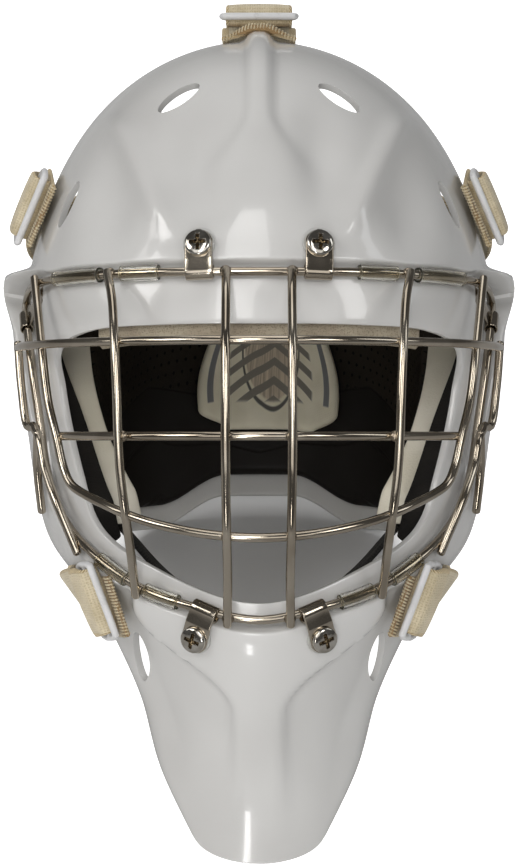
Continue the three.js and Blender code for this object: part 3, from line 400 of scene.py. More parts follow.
def add_piece(name, parts, material, node, crease=CREASE):
    """Builds a piece that rides on the mask, gives it its finish, and lets it stand for the named node."""
    mesh = build_mesh(name, parts)
    tidy_faces(mesh, crease)
    mesh.materials.append(material)
    piece = bpy.data.objects.new(name, mesh)
    bpy.context.scene.collection.objects.link(piece)
    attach(piece, "root")
    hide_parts(node)
    return piece


def border_uv(count):
    """u and v round the shell's rear edge: a super-ellipse in (u, v), evenly spaced along the edge."""
    angle = np.linspace(0, 2 * math.pi, 1441)
    power = 2 / 9
    u = np.sign(np.sin(angle)) * np.abs(np.sin(angle)) ** power
    v = 0.5 - 0.5 * np.sign(np.cos(angle)) * np.abs(np.cos(angle)) ** power
    spots = np.hstack([section(SHELL_ROWS, u, v), u[:, None], v[:, None]])
    return evenly(spots, count)[:, 3:]


def shell_grid():
    """Rows from the opening over the frame line, the seat's step and the dome to the rear edge and back.

    Each column blends in (u, v) from the opening to the frame line and on to the rear edge. The two rims
    are half rounds that join the outer surface to the inner one. The map is 0 outside and 1 inside.
    """
    opening = np.stack(shell_uv(*whole_outline(FACE_OPENING, SHELL_COLUMNS).T), -1)
    frame_line = np.stack(shell_uv(*whole_outline(CAGE_OUTLINE, SHELL_COLUMNS).T), -1)
    edge = border_uv(SHELL_COLUMNS)
    start = section(SHELL_ROWS, frame_line[:, 0], frame_line[:, 1])
    room = 5.2 * smooth(94, 104, np.abs(start[:, 0]))
    spots = [mix(opening, frame_line, t) for t in np.linspace(0, 1, 9)]
    seats = [1.0] * 9
    for distance in np.linspace(1, 7.5, 12):
        near = np.zeros(SHELL_COLUMNS)
        far = np.full(SHELL_COLUMNS, 0.5)
        for _ in range(24):
            middle = (near + far) / 2
            there = mix(frame_line, edge, middle[:, None])
            short = np.linalg.norm(section(SHELL_ROWS, *there.T) - start, axis=1) < distance + room
            near = np.where(short, middle, near)
            far = np.where(short, far, middle)
        spots.append(mix(frame_line, edge, near[:, None]))
        seats.append(float(1 - smooth(2.4, 6.2, distance)))
    last = spots[-1]
    for t in 1 - (1 - np.linspace(0, 1, 64)[1:]) ** 1.5:
        spots.append(mix(last, edge, t))
        seats.append(0.0)
    uv = np.stack(spots)
    seat = np.array(seats)[:, None] * np.ones(SHELL_COLUMNS)
    outer = shell_point(uv[..., 0], uv[..., 1], seat)
    inner = shell_point(uv[..., 0], uv[..., 1], seat, SHELL_WALL)
    for row, towards in ((0, 1), (-1, -2)):
        outward = unit(outer[row] - outer[towards])
        outer[row] = outer[row] - outward * RIM_NOSE
        inner[row] = inner[row] - outward * RIM_NOSE
    turn = np.linspace(0, math.pi, 7)[1:-1, None, None]

    def rim(row, towards):
        """A half round from the outer row to the inner: middle + half cos t + outward RIM_NOSE sin t^0.6."""
        outward = unit(outer[row] - outer[towards])
        middle = (outer[row] + inner[row]) / 2
        half = (outer[row] - inner[row]) / 2
        return middle + half * np.cos(turn) + outward * RIM_NOSE * np.sin(turn) ** 0.6

    grid = np.concatenate([outer, rim(-1, -2), inner[::-1], rim(0, 1)[::-1]])
    inside = np.zeros(grid.shape[:2] + (2,))
    first_inner = len(outer) + len(turn)
    inside[first_inner:first_inner + len(inner)] = 1
    return {"grid": grid, "map": inside, "round_rows": True, "round_columns": True}


# Vents are slanted slots and the screw holes are round, all cut square to the surface.
VENTS = [
    # x, z of the middle on the right half, length, width, lean from upright towards the outside
    (37, 154.5, 23.5, 12, 126),
    (88, 106, 24, 10.5, -36),
    (56.5, -102.5, 25, 12, 21),
]
SCREWED_CLIPS = [
    # name, x and z of the screw on the right half, z of the wire beside it, lean in degrees
    ("top", 26.3, 83, 71.4, 0),
    ("chin", 27.3, -89.5, -76.4, 14),
]
SEAT_SINK = 0.25
# A seat's cutter is turned from (radius, height); a vent's goes from a low level to a high one.
SEAT_CUT = [(0, -8), (2.45, -8), (2.45, 0), (8.1, 0), (8.1, 6), (0, 6)]
VENT_CUT = (-14, 10)


def placing(point, out, side):
    """A 4x4 matrix: local z points along `out`, local x leans towards `side`, the origin is at `point`."""
    z = unit(np.asarray(out, float))
    y = unit(np.cross(z, side))
    x = np.cross(y, z)
    matrix = np.eye(4)
    matrix[:3] = np.stack([x, y, z, point], -1)
    return matrix


def moved(matrix, points):
    """Points carried by a 4x4 matrix."""
    return points @ matrix[:3, :3].T + matrix[:3, 3]


def turned_profile(profile, sides):
    """A round body: (r, z) of the profile turned about the local z axis, point = (r cos a, r sin a, z)."""
    radius, height = np.asarray(profile, float).T
    angle = np.linspace(0, 2 * math.pi, sides, endpoint=False)
    rows = [radius[:, None] * np.cos(angle), radius[:, None] * np.sin(angle)]
    return np.stack([*rows, height[:, None] * np.ones(sides)], -1)


def clip_seat(clip, half):
    """The seat of a screwed clip: local z is the shell's normal and local x runs along the wire."""
    _, x, z, _, lean = clip
    u, v = shell_uv(half * x, z)
    normal = facing(SHELL_ROWS, u, v)
    turn = math.radians(lean) * half
    wire_way = (math.cos(turn), 0, math.sin(turn))
    return placing(section(SHELL_ROWS, u, v) - normal * SEAT_SINK, normal, wire_way)


def cutter(name, matrix, profile, stretch=1.0, sides=64):
    """A closed round body for cutting, stretched along its local y."""
    body = turned_profile(profile, sides) * np.array([1, stretch, 1])
    mesh = build_mesh(name, [{"grid": moved(matrix, body), "round_columns": True}])
    tidy_faces(mesh)
    tool = bpy.data.objects.new(name, mesh)
    bpy.context.scene.collection.objects.link(tool)
    return tool


SIDES = ((-1, "left"), (1, "right"))
tools = []
for half, _ in SIDES:
    for x, z, length, width, lean in VENTS:
        u, v = shell_uv(half * x, z)
        matrix = placing(section(SHELL_ROWS, u, v), facing(SHELL_ROWS, u, v), (-1, 0, 0))
        turn = math.radians(-half * lean)
        spin = np.eye(4)
        spin[:2, :2] = [[math.cos(turn), -math.sin(turn)], [math.sin(turn), math.cos(turn)]]
        slot = [(0, VENT_CUT[0]), (width / 2, VENT_CUT[0]), (width / 2, VENT_CUT[1]), (0, VENT_CUT[1])]
        tools.append(cutter("vent_tool", matrix @ spin, slot, length / width))
    for clip in SCREWED_CLIPS:
        tools.append(cutter("seat_tool", clip_seat(clip, half), SEAT_CUT))


def cut_away(piece, tools):
    """Cuts each tool from the piece, keeps the result as a plain smooth mesh and removes the tools."""
    for tool in tools:
        knife = piece.modifiers.new("knife", "BOOLEAN")
        knife.operation = "DIFFERENCE"
        knife.solver = "EXACT"
        knife.object = tool
    graph = bpy.context.evaluated_depsgraph_get()
    result = bpy.data.meshes.new_from_object(piece.evaluated_get(graph))
    piece.modifiers.clear()
    piece.data = result
    shade(result)
    for tool in tools:
        bpy.data.objects.remove(tool)


def make_group(name, inputs, outputs):
    """A shader node group from inputs (name, kind, value) and outputs (name, kind), with its two ends."""
    group = bpy.data.node_groups.new(name, "ShaderNodeTree")
    for label, kind, value in inputs:
        entry = group.interface.new_socket(label, in_out="INPUT", socket_type=f"NodeSocket{kind}")
        entry.default_value = value
    for label, kind in outputs:
        group.interface.new_socket(label, in_out="OUTPUT", socket_type=f"NodeSocket{kind}")
    return group, group.nodes.new("NodeGroupInput").outputs, group.nodes.new("NodeGroupOutput").inputs


def place_group(tree, group, **feeds):
    """Puts a group into a material with its own values and returns its outputs."""
    return add_node(tree, "ShaderNodeGroup", feeds, node_tree=group).outputs


def product(tree, first, *others):
    """The product of masks or numbers."""
    for other in others:
        first = calculate(tree, "MULTIPLY", first, other)
    return first


def away_from(tree, value, line):
    """How far a value is from a line, to either side."""
    return calculate(tree, "ABSOLUTE", calculate(tree, "SUBTRACT", value, line))


def finish_with(material, height, strength, distance, colour, roughness):
    """Feeds a material's bump from a height of 0..1, `distance` metres deep, its colour and roughness."""
    tree = material.node_tree
    raised = add_node(tree, "ShaderNodeBump", {"Height": height, "Strength": strength, "Distance": distance})
    feeds = {"Normal": raised.outputs["Normal"], "Base Color": colour, "Roughness": roughness}
    for socket, source in feeds.items():
        tree.links.new(source, tree.nodes["Principled BSDF"].inputs[socket])


# Grain: fine lumps with a roughness that follows them, and broad patches for a slow drift of colour.
grain, given, result = make_group(
    "grain",
    [("Place", "Vector", (0, 0, 0)), ("Fineness", "Float", 400.0), ("Patches", "Float", 18.0),
     ("Roughness", "Float", 0.3), ("Spread", "Float", 0.1)],
    [("Height", "Float"), ("Drift", "Float"), ("Roughness", "Float")],
)
clouds = []
for size, detail in (("Fineness", 3.0), ("Patches", 2.0)):
    feeds = {"Vector": given["Place"], "Scale": given[size], "Detail": detail}
    clouds.append(add_node(grain, "ShaderNodeTexNoise", feeds).outputs["Fac"])
fine, broad = clouds
drift = ramp(grain, broad, 0.32, 0.68)
uneven = calculate(grain, "ADD", *(calculate(grain, "SUBTRACT", share, 0.5) for share in (fine, drift)))
grain.links.new(fine, result["Height"])
grain.links.new(drift, result["Drift"])
grain_rough = calculate(grain, "MULTIPLY_ADD", uneven, given["Spread"], given["Roughness"])
grain.links.new(grain_rough, result["Roughness"])


def grained_material(name, fineness, patches, roughness, spread, dark, light, **values):
    """A material with grain, so many lumps and patches to the metre, and a colour that drifts with it.

    Its roughness is spread about a middle value. Returns the material, its tree, the grain and the colour.
    """
    material, tree, _ = new_material(name, **values)
    feeds = {"Fineness": fineness, "Patches": patches, "Roughness": roughness, "Spread": spread}
    outputs = place_group(tree, grain, Place=object_place(tree), **feeds)
    return material, tree, outputs, two_tone(tree, outputs["Drift"], dark, light)


def lay_map(tree):
    """The piece's own map, whole and as its separate numbers."""
    lay = add_node(tree, "ShaderNodeUVMap", uv_map="lay").outputs["UV"]
    return lay, add_node(tree, "ShaderNodeSeparateXYZ", {0: lay}).outputs


gelcoat, tree, peel, outer_white = grained_material(
    "white_gelcoat", 260, 14, 0.2, 0.06, (0.56, 0.553, 0.54, 1), (0.61, 0.605, 0.592, 1),
    Coat_Weight=0.5, Coat_Roughness=0.04)
inside = lay_map(tree)[1][0]
inner_grey = two_tone(tree, peel["Drift"], (0.40, 0.39, 0.37, 1), (0.47, 0.46, 0.44, 1))
gelcoat_colour = two_tone(tree, inside, outer_white, inner_grey)
gelcoat_rough = calculate(tree, "MULTIPLY_ADD", inside, 0.35, peel["Roughness"])
finish_with(gelcoat, peel["Height"], 0.12, 0.0004, gelcoat_colour, gelcoat_rough)
shell = add_piece("shell_moulding", [shell_grid()], gelcoat, "shell")
cut_away(shell, tools)

# ---------------------------------------------------------------- the cage
# Round steel wire, bent and welded where it crosses, then bright nickel plated: one closed frame, bars
# across the eyes, a U below them, four uprights and a bracket at each ear.
WIRE = 2
FRAME_LIFT = -0.8
CROSS_LIFT = FRAME_LIFT + 3.3
LINE_STEP = 2
WELD_SIZE = (2.7, 1.6, 2.5)
WELD_REACH = 6
WELD_MARK = 9.0
U_HALF = [(98, -61, 40), (94.5, -68, 15), (90.4, -73, -1), (87, -76, -15), (83.6, -79.5, -22),
          (76.5, -87, -26.8), (67, -98, -31), (60, -104, -34), (46, -111.5, -38.5), (24, -118.5, -42.8),
          (0, -121, -44.5)]
EYE_BARS = [
    # half width and depth of the ellipse, x of the right end, height
    (113.5, 125, 112.6, 40.2),
    (107, 127.2, 89.5, -0.9),
]
CENTRE_UPRIGHT = [(14.3, -113, 59), (14.3, -125.5, 41), (14.3, -129.6, 20), (14.3, -130.2, -2),
                  (14.1, -127.6, -24), (13.8, -122.6, -44), (13.5, -110, -64)]
OUTER_UPRIGHT = [(64.3, -97, 59), (62.7, -107.2, 41), (61.6, -110.5, 20), (60.9, -111, -2),
                 (59.8, -110, -19), (57.9, -107, -35), (55.8, -96.5, -54)]
UPRIGHTS = [
    # bends from the top down, x and z of the top and of the bottom end on the shell
    (CENTRE_UPRIGHT, (14.3, 71.4), (13.4, -83.4)),
    (OUTER_UPRIGHT, (66.0, 71.2), (53.0, -70.9)),
]
BRACKET_DROP = [(112.2, -19, 42), (110.3, -23, 22), (107, -28.5, 3.6), (103.4, -34.5, 3.8)]
BRACKET_BAR = [(99.6, 3.4, 4), (97, -2, 4), (94.6, -14, 4), (89, -29, 4), (80.4, -53, 2.2)]
BRACKET_SHORT = [(97.8, 1, 4), (98.6, -16, 3.7), (97.2, -35, 3.4)]


def centripetal(stops, t):
    """The centripetal Catmull-Rom curve through the stops at t = 0..1; its ends go straight on."""
    stops = np.asarray(stops, float)
    knots = np.vstack([2 * stops[:1] - stops[1:2], stops, 2 * stops[-1:] - stops[-2:-1]])
    place = np.clip(t, 0, 1) * (len(stops) - 1)
    i = np.minimum(place.astype(int), len(stops) - 2)
    w = (place - i)[:, None]
    a, b, c, d = (knots[i + k] for k in range(4))
    before, here, after = (
        np.sqrt(np.linalg.norm(q - p, axis=1))[:, None] for p, q in ((a, b), (b, c), (c, d)))
    start = ((b - a) / before - (c - a) / (before + here) + (c - b) / here) * here
    end = ((c - b) / here - (d - b) / (here + after) + (d - c) / after) * here
    return b + start * w + (3 * (c - b) - 2 * start - end) * w**2 + (2 * (b - c) + start + end) * w**3


def smooth_line(stops, spacing):
    """Points about `spacing` mm apart, evenly spaced along the centripetal curve through the stops."""
    fine = centripetal(stops, np.linspace(0, 1, 40 * len(stops)))
    length = np.linalg.norm(np.diff(fine, axis=0), axis=1).sum()
    return evenly(fine, max(3, int(round(length / spacing)) + 1), closed=False)


def tangents(line, closed=False):
    """Unit directions along a line, from the points on either side."""
    if closed:
        return unit(np.roll(line, -1, axis=0) - np.roll(line, 1, axis=0))
    return unit(np.gradient(line, axis=0))


def rod(line, radius, reference, sides=14, closed=False, dome=0.7):
    """A round bar: line + radius (cos a n1 + sin a n2), n1 = tangent x reference. Open ends are domed."""
    along = tangents(line, closed)
    first = unit(np.cross(along, reference))
    second = np.cross(along, first)
    size = np.full(len(line), float(radius))
    if not closed:
        turn = np.radians([90, 68, 45, 22])
        start = line[0] - along[0] * np.sin(turn)[:, None] * radius * dome
        end = line[-1] + along[-1] * np.sin(turn[::-1])[:, None] * radius * dome
        line = np.vstack([start, line, end])
        first = np.vstack([first[:1].repeat(4, 0), first, first[-1:].repeat(4, 0)])
        second = np.vstack([second[:1].repeat(4, 0), second, second[-1:].repeat(4, 0)])
        size = np.r_[radius * np.cos(turn), size, radius * np.cos(turn[::-1])]
    angle = np.linspace(0, 2 * math.pi, sides, endpoint=False)[:, None]
    spokes = first[:, None] * np.cos(angle) + second[:, None] * np.sin(angle)
    grid = line[:, None] + spokes * size[:, None, None]
    return {"grid": grid, "round_columns": True, "round_rows": closed}


def blob(middle, radii, rows=8, sides=12):
    """A closed ellipsoid: middle + (rx sin p cos a, ry sin p sin a, rz cos p), marked on its map."""
    tilt = np.linspace(0, math.pi, rows)
    ball = turned_profile(np.stack([np.sin(tilt), np.cos(tilt)], -1), sides)
    marks = np.full(ball.shape[:2] + (2,), WELD_MARK)
    return {"grid": middle + ball * radii, "map": marks, "round_columns": True}


def weld_between(first, second):
    """The place where two lines cross most closely, or None where they stay over WELD_REACH apart."""
    apart = np.linalg.norm(first[:, None] - second[None], axis=-1)
    i, k = np.unravel_index(apart.argmin(), apart.shape)
    return (first[i] + second[k]) / 2 if apart[i, k] < WELD_REACH else None


def both_halves(half_line):
    """A line given from its right end to the middle, and on to its mirror image."""
    half_line = np.asarray(half_line, float)
    return np.vstack([half_line * [-1, 1, 1], half_line[-2::-1]])


def ellipse_bar(half_width, depth, end, height):
    """A bar bent in plan to x = half_width sin a, y = -depth cos a."""
    angle = np.linspace(-math.asin(end / half_width), math.asin(end / half_width), 150)
    return np.stack([half_width * np.sin(angle), -depth * np.cos(angle), np.full(150, height)], -1)


frame_xz = whole_outline(CAGE_OUTLINE, SHELL_COLUMNS)
frame_wire = on_shell(frame_xz[:, 0], frame_xz[:, 1], np.full(SHELL_COLUMNS, FRAME_LIFT))
u_wire = smooth_line(both_halves([on_shell(101, 71, CROSS_LIFT)] + U_HALF), LINE_STEP)
eye_bars = [ellipse_bar(*bar) for bar in EYE_BARS]
backwards = np.array([0, 1, 0])
sideways = np.array([1, 0, 0])
upwards = np.array([0, 0, 1])
# An upright crosses the frame twice, so the frame is taken in parts.
crossed_lines = [*np.split(frame_wire, (150, 300)), *eye_bars, u_wire]
wires = [rod(frame_wire, WIRE, backwards, closed=True)]
wires += [rod(line, WIRE, upwards) for line in eye_bars]
wires.append(rod(u_wire, WIRE, backwards))
for half, _ in SIDES:
    mirror = np.array([half, 1, 1])
    for knots, top, bottom in UPRIGHTS:
        ends = [on_shell(half * x, z, CROSS_LIFT) for x, z in (top, bottom)]
        upright = smooth_line([ends[0], *(np.array(knots) * mirror), ends[1]], LINE_STEP)
        wires.append(rod(upright, WIRE, sideways))
        welds = [weld_between(upright, line) for line in crossed_lines]
        wires += [blob(weld, np.array(WELD_SIZE)) for weld in welds if weld is not None]
    bar, short = (
        [on_shell(half * x, z, lift) for x, z, lift in stops] for stops in (BRACKET_BAR, BRACKET_SHORT))
    bracket = smooth_line([*(np.array(BRACKET_DROP) * mirror), *bar], LINE_STEP)
    wires += [rod(line, WIRE, backwards) for line in (bracket, smooth_line(short, LINE_STEP))]

nickel, tree, plating, clean = grained_material(
    "bright_nickel", 900, 45, 0.13, 0.09, (0.36, 0.31, 0.245, 1), (0.50, 0.445, 0.365, 1), Metallic=1.0)
welded = calculate(tree, "GREATER_THAN", lay_map(tree)[1][1], WELD_MARK / 2)
nickel_colour = two_tone(tree, welded, clean, (0.30, 0.25, 0.19, 1))
nickel_rough = calculate(tree, "MULTIPLY_ADD", welded, 0.12, plating["Roughness"])
finish_with(nickel, plating["Height"], 0.04, 0.0002, nickel_colour, nickel_rough)
lit_from_above.objects.link(add_piece("cage_wires", wires, nickel, "cage"))

# ---------------------------------------------------------------- clips, washers and screws
# Each clip is a strip of plated steel wrapped round the frame wire and held by a pan-head screw over a
# clear plastic washer. Two short sleeves with a tongue hold the wire at the ears.
CLIP_SLEEVE = 12.4
CLIP_R = 3.1
CLIP_SHEET = 1.2
CLIP_HALF_WIDTH = 6.5
WASHER_R = 7.1
WASHER_THICK = 1.2
SCREW_R = 5.9
SCREW_HIGH = 2.4
RECESS_HALF_WIDTH = (0.6, 0.95)
RECESS_REACH = (3.2, 3.8)
WASHER_BORE = 2.5
WASHER_RIM = 0.3
PLAY = 0.32
WASHER_AT = PLAY
PLATE_AT = WASHER_AT + WASHER_THICK + PLAY
HEAD_AT = PLATE_AT + CLIP_SHEET + PLAY
WASHER_RING = [(WASHER_BORE, 0), (WASHER_R - WASHER_RIM, 0), (WASHER_R, WASHER_RIM),
               (WASHER_R, WASHER_THICK - WASHER_RIM), (WASHER_R - WASHER_RIM, WASHER_THICK),
               (WASHER_BORE, WASHER_THICK)]
SHANK = [(0, -5.4), (1.9, -5.4), (2, -5.1), (2, HEAD_AT + 0.2), (0, HEAD_AT + 0.2)]
SIDE_CLIP = {"x": 109.7, "z": 52, "sleeve": 10.5, "radius": 2.85, "half_sheet": 0.35, "foot_x": 105,
             "foot_lift": 1.2}


def ribbon(line, up, width_way, half_width, half_thick, arch=None, across=10):
    """A flat band with round edges along a line.

    A ring's point = line + width_way * (A (w - t) + B t) + up * C t, with A, B and C the flat faces and
    the half-round edges, plus up * arch(across, along) where the band is bowed. `half_width` may change
    along it. The ring's seam lies on an edge. Its map is (distance along, place across) in metres, with
    0.1 added to the place across on the back face.
    """
    flat = np.linspace(-1, 1, across)
    turn = np.radians([60, 30, 0, -30, -60])
    ones = np.ones(5)
    place = np.r_[flat, ones, flat[::-1], -ones, flat[:1]]
    edge = np.r_[0 * flat, np.cos(turn), 0 * flat, -np.cos(turn), 0]
    face = np.r_[0 * flat + 1, np.sin(turn), 0 * flat - 1, -np.sin(turn), 1]
    wide = np.broadcast_to(np.asarray(half_width, float), len(line))[:, None]
    thick = np.broadcast_to(np.asarray(half_thick, float), len(line))[:, None]
    out = place * (wide - thick) + edge * thick
    rise = face * thick
    along = np.r_[0, np.cumsum(np.linalg.norm(np.diff(line, axis=0), axis=1))][:, None] + 0 * out
    if arch is not None:
        rise = rise + arch(out, along)
    grid = line[:, None] + width_way[:, None] * out[..., None] + up[:, None] * rise[..., None]
    return {"grid": grid, "map": np.stack([along, out + 100 * (face < 0)], -1) / 1000}


def capped(part, inset=0.35):
    """Closes a ribbon's two ends: each end ring is pulled in a little, then on to its own middle."""
    grid = part["grid"]
    first, last = grid[:1], grid[-1:]
    start = first.mean(axis=1, keepdims=True)
    end = last.mean(axis=1, keepdims=True)
    back = unit(start[0] - grid[1:2].mean(axis=1)) * inset
    forth = unit(end[0] - grid[-2:-1].mean(axis=1)) * inset
    part["grid"] = np.concatenate([start + 0 * first + back, mix(first, start, 0.3) + back, grid,
                                   mix(last, end, 0.3) + forth, end + 0 * last + forth])
    part["map"] = np.concatenate([part["map"][:1]] * 2 + [part["map"]] + [part["map"][-1:]] * 2)
    return part


def frame_wire_at(spot):
    """The frame wire's nearest point to a spot, and its direction there."""
    nearest = np.linalg.norm(frame_wire - spot, axis=1).argmin()
    return frame_wire[nearest], tangents(frame_wire, closed=True)[nearest]


def clip_strip(seat, middle):
    """The strip's path in its seat: flat under the screw, a step, then once round the wire at `middle`."""
    towards = np.sign(middle[1])
    level = PLATE_AT + CLIP_SHEET / 2
    turn = np.radians(np.linspace(100, -235, 40))
    loop = np.stack([middle[1] + towards * CLIP_R * np.cos(turn), middle[2] + CLIP_R * np.sin(turn)], -1)
    straight = np.array([(-towards * y, level) for y in (6.3, 5.9, 5, 3.6, 1.8, 0)] +
                        [(towards * y, level) for y in (2, 4, 5.5, 6.6, 7.2)])
    path = np.vstack([straight, loop])
    line = np.stack([np.zeros(len(path)), path[:, 0], path[:, 1]], -1)
    round_end = np.sqrt(np.maximum(0.6, CLIP_HALF_WIDTH**2 - np.minimum(0, path[:, 0] * towards) ** 2))
    width = np.where(path[:, 0] * towards < 0, round_end, np.minimum(CLIP_HALF_WIDTH, CLIP_SLEEVE / 2))
    along = tangents(line)
    way = sideways + 0 * line
    up = np.cross(way, along)
    part = capped(ribbon(line, up, way, width, CLIP_SHEET / 2, across=6))
    part["grid"] = moved(seat, part["grid"])
    return part


def cross_recess_head(seat):
    """A pan head: z falls as a round dome towards the rim, less a cross slot that narrows downwards.

    The map is 1 in the slot.
    """
    radius = np.r_[0, np.linspace(0.04, 0.98, 56), 1.0, 1.0, 0.96, 0.0] * SCREW_R
    angle = np.linspace(0, 2 * math.pi, 144, endpoint=False)
    x = radius[:, None] * np.cos(angle)
    y = radius[:, None] * np.sin(angle)
    ratio = radius[:, None] / SCREW_R + 0 * x
    dome = SCREW_HIGH * (0.42 + 0.58 * np.sqrt(np.maximum(0, 1 - ratio**3.2)))
    slot_x = (1 - smooth(*RECESS_HALF_WIDTH, np.abs(y))) * (1 - smooth(*RECESS_REACH, np.abs(x)))
    slot_y = (1 - smooth(*RECESS_HALF_WIDTH, np.abs(x))) * (1 - smooth(*RECESS_REACH, np.abs(y)))
    deep = 1.0 + 1.0 * (1 - smooth(0.6, 2.2, radius))[:, None]
    recess = np.maximum(slot_x, slot_y)
    top = dome - recess * deep
    top[-3] = 0.12
    top[-2:] = 0
    grid = np.stack([x, y, top + HEAD_AT], -1)
    return {"grid": moved(seat, grid), "round_columns": True, "map": np.stack([recess, 0 * recess], -1)}


washer_clear, tree, cloudy, washer_colour = grained_material(
    "clear_washer", 700, 160, 0.2, 0.12, (0.80, 0.79, 0.74, 1), (0.9, 0.9, 0.87, 1),
    Transmission_Weight=0.55, IOR=1.46)
finish_with(washer_clear, cloudy["Height"], 0.1, 0.0002, washer_colour, cloudy["Roughness"])
screw_plate, tree, handled, screw_colour = grained_material(
    "screw_plating", 1200, 220, 0.09, 0.08, (0.40, 0.37, 0.32, 1), (0.58, 0.55, 0.50, 1), Metallic=1.0)
# Painted shade: the cross recess in the pan head is coloured dark brown.
recess_shade = lay_map(tree)[1][0]
screw_colour = two_tone(tree, recess_shade, screw_colour, (0.16, 0.12, 0.07, 1))
finish_with(screw_plate, handled["Height"], 0.15, 0.0002, screw_colour, handled["Roughness"])
for half, side in SIDES:
    for clip in SCREWED_CLIPS:
        name, x, z, wire_z, _ = clip
        seat = clip_seat(clip, half)
        on_wire, _ = frame_wire_at(on_shell(half * (x - 0.6), wire_z, FRAME_LIFT))
        middle = (on_wire - seat[:3, 3]) @ seat[:3, :3]
        which = f"{name}_{side}"
        add_piece(f"clip_strip_{which}", [clip_strip(seat, middle)], nickel, f"clip_{which}")
        washer = moved(seat, turned_profile([(r, h + WASHER_AT) for r, h in WASHER_RING], 48))
        disc = {"grid": washer, "round_columns": True, "round_rows": True}
        add_piece(f"washer_disc_{which}", [disc], washer_clear, f"washer_{which}")
        shank = {"grid": moved(seat, turned_profile(SHANK, 20)), "round_columns": True}
        screw = [cross_recess_head(seat), shank]
        add_piece(f"pan_head_{which}", screw, screw_plate, f"screw_{which}", crease=32)
    wire_spot, wire_way = frame_wire_at(on_shell(half * SIDE_CLIP["x"], SIDE_CLIP["z"], FRAME_LIFT))
    foot = on_shell(half * SIDE_CLIP["foot_x"], SIDE_CLIP["z"], SIDE_CLIP["foot_lift"] - SEAT_DEPTH)
    reach = foot - wire_spot
    out = unit(np.cross(wire_way, reach))
    flat_way = unit(np.cross(out, wire_way))
    turn = np.radians(np.linspace(20, 340, 40))[:, None]
    loop = wire_spot + SIDE_CLIP["radius"] * (flat_way * np.cos(turn) + out * np.sin(turn))
    tongue = wire_spot + flat_way * np.linspace(SIDE_CLIP["radius"] + 0.6, np.linalg.norm(reach), 6)[:, None]
    line = np.vstack([tongue[::-1], loop])
    way = wire_way + 0 * line
    up = np.cross(way, tangents(line))
    sleeve = capped(ribbon(line, up, way, SIDE_CLIP["sleeve"] / 2, SIDE_CLIP["half_sheet"], across=6))
    add_piece(f"ear_sleeve_{side}", [sleeve], nickel, f"clip_side_{side}")

# ---------------------------------------------------------------- vinyl tubes on the frame wire
# Lengths of clear vinyl hose pushed over the wire so that it does not rattle on the shell; their cut
# ends show as pale rings.
TUBE_BORE = 2.35
TUBE_OUT = 3.4
TUBE_RUNS = [
    # name, distance from the middle of its inner and outer end, 1 on the top of the frame and -1 below
    ("top_inner", 43, 61.5, 1),
    ("top_outer", 69.5, 92, 1),
    ("low_inner", 36, 50.5, -1),
    ("low_outer", 58, 72, -1),
]


def tube_wall(line, bore, outside, reference, sides=48):
    """A hose: an outer and an inner ring carried along the line, joined by rounded rims whose map is 1."""
    along = tangents(line)
    first = unit(np.cross(along, reference))
    second = np.cross(along, first)
    turn = np.radians([65, 40, 15])
    middle, half_wall = (bore + outside) / 2, (outside - bore) / 2
    count, ends = len(line), len(turn)
    swing = half_wall * np.cos(turn)
    radius = np.r_[middle + swing, np.full(count, outside), middle + swing[::-1],
                   middle - swing, np.full(count, bore), middle - swing[::-1]]
    bulge = half_wall * 0.7 * np.sin(turn)
    offset = np.r_[-bulge, np.zeros(count), bulge[::-1], bulge, np.zeros(count), -bulge[::-1]]
    index = np.r_[[0] * ends, np.arange(count), [-1] * 2 * ends, np.arange(count)[::-1], [0] * ends]
    angle = np.linspace(0, 2 * math.pi, sides, endpoint=False)[:, None]
    spokes = first[index][:, None] * np.cos(angle) + second[index][:, None] * np.sin(angle)
    centre = line[index] + along[index] * offset[:, None]
    grid = centre[:, None] + spokes * radius[:, None, None]
    cut = np.zeros(grid.shape[:2] + (2,))
    cut[offset != 0] = 1
    return {"grid": grid, "map": cut, "round_columns": True, "round_rows": True}


vinyl, tree, hazy, hose_wall = grained_material(
    "clear_vinyl", 300, 90, 0.05, 0.02, (0.90, 0.88, 0.80, 1), (0.96, 0.95, 0.90, 1),
    Transmission_Weight=1.0, IOR=1.33)
cut_end = lay_map(tree)[1][0]
vinyl_colour = two_tone(tree, cut_end, hose_wall, (0.80, 0.75, 0.55, 1))
vinyl_rough = calculate(tree, "MULTIPLY_ADD", cut_end, 0.5, hazy["Roughness"])
finish_with(vinyl, hazy["Height"], 0.004, 0.0002, vinyl_colour, vinyl_rough)
for half, side in SIDES:
    for name, near, far, up_side in TUBE_RUNS:
        from_middle = frame_wire[:, 0] * half
        run = frame_wire[(from_middle >= near) & (from_middle <= far) & (frame_wire[:, 2] * up_side > 0)]
        run = smooth_line(evenly(run[np.argsort(run[:, 0])], 7, closed=False), 0.8)
        hose = tube_wall(run, TUBE_BORE, TUBE_OUT, backwards)
        add_piece(f"hose_{name}_{side}", [hose], vinyl, f"tubing_{name}_{side}")

# ---------------------------------------------------------------- the back plate
# A second white moulding that floats behind the head on the elastic straps. Its rim is rounded and its
# lower edge arches over the nape.
PLATE_TABLE = np.array([
    # front Y and Z, side X, Y and Z, then the two powers of the section's curve
    (85, 174, 97, 80, 76, 2.0, 2.0),
    (100, 168, 98, 82, 58, 2.1, 2.1),
    (136, 136, 97, 84, 40, 2.2, 2.2),
    (158, 94, 96, 86, 22, 2.3, 2.3),
    (166, 50, 94, 88, 4, 2.3, 2.4),
    (163, 6, 90, 90, -14, 2.2, 2.4),
    (155, -33, 80, 94, -38, 2.2, 2.4),
])
PLATE_WALL = 3
NAPE_DROP = 16


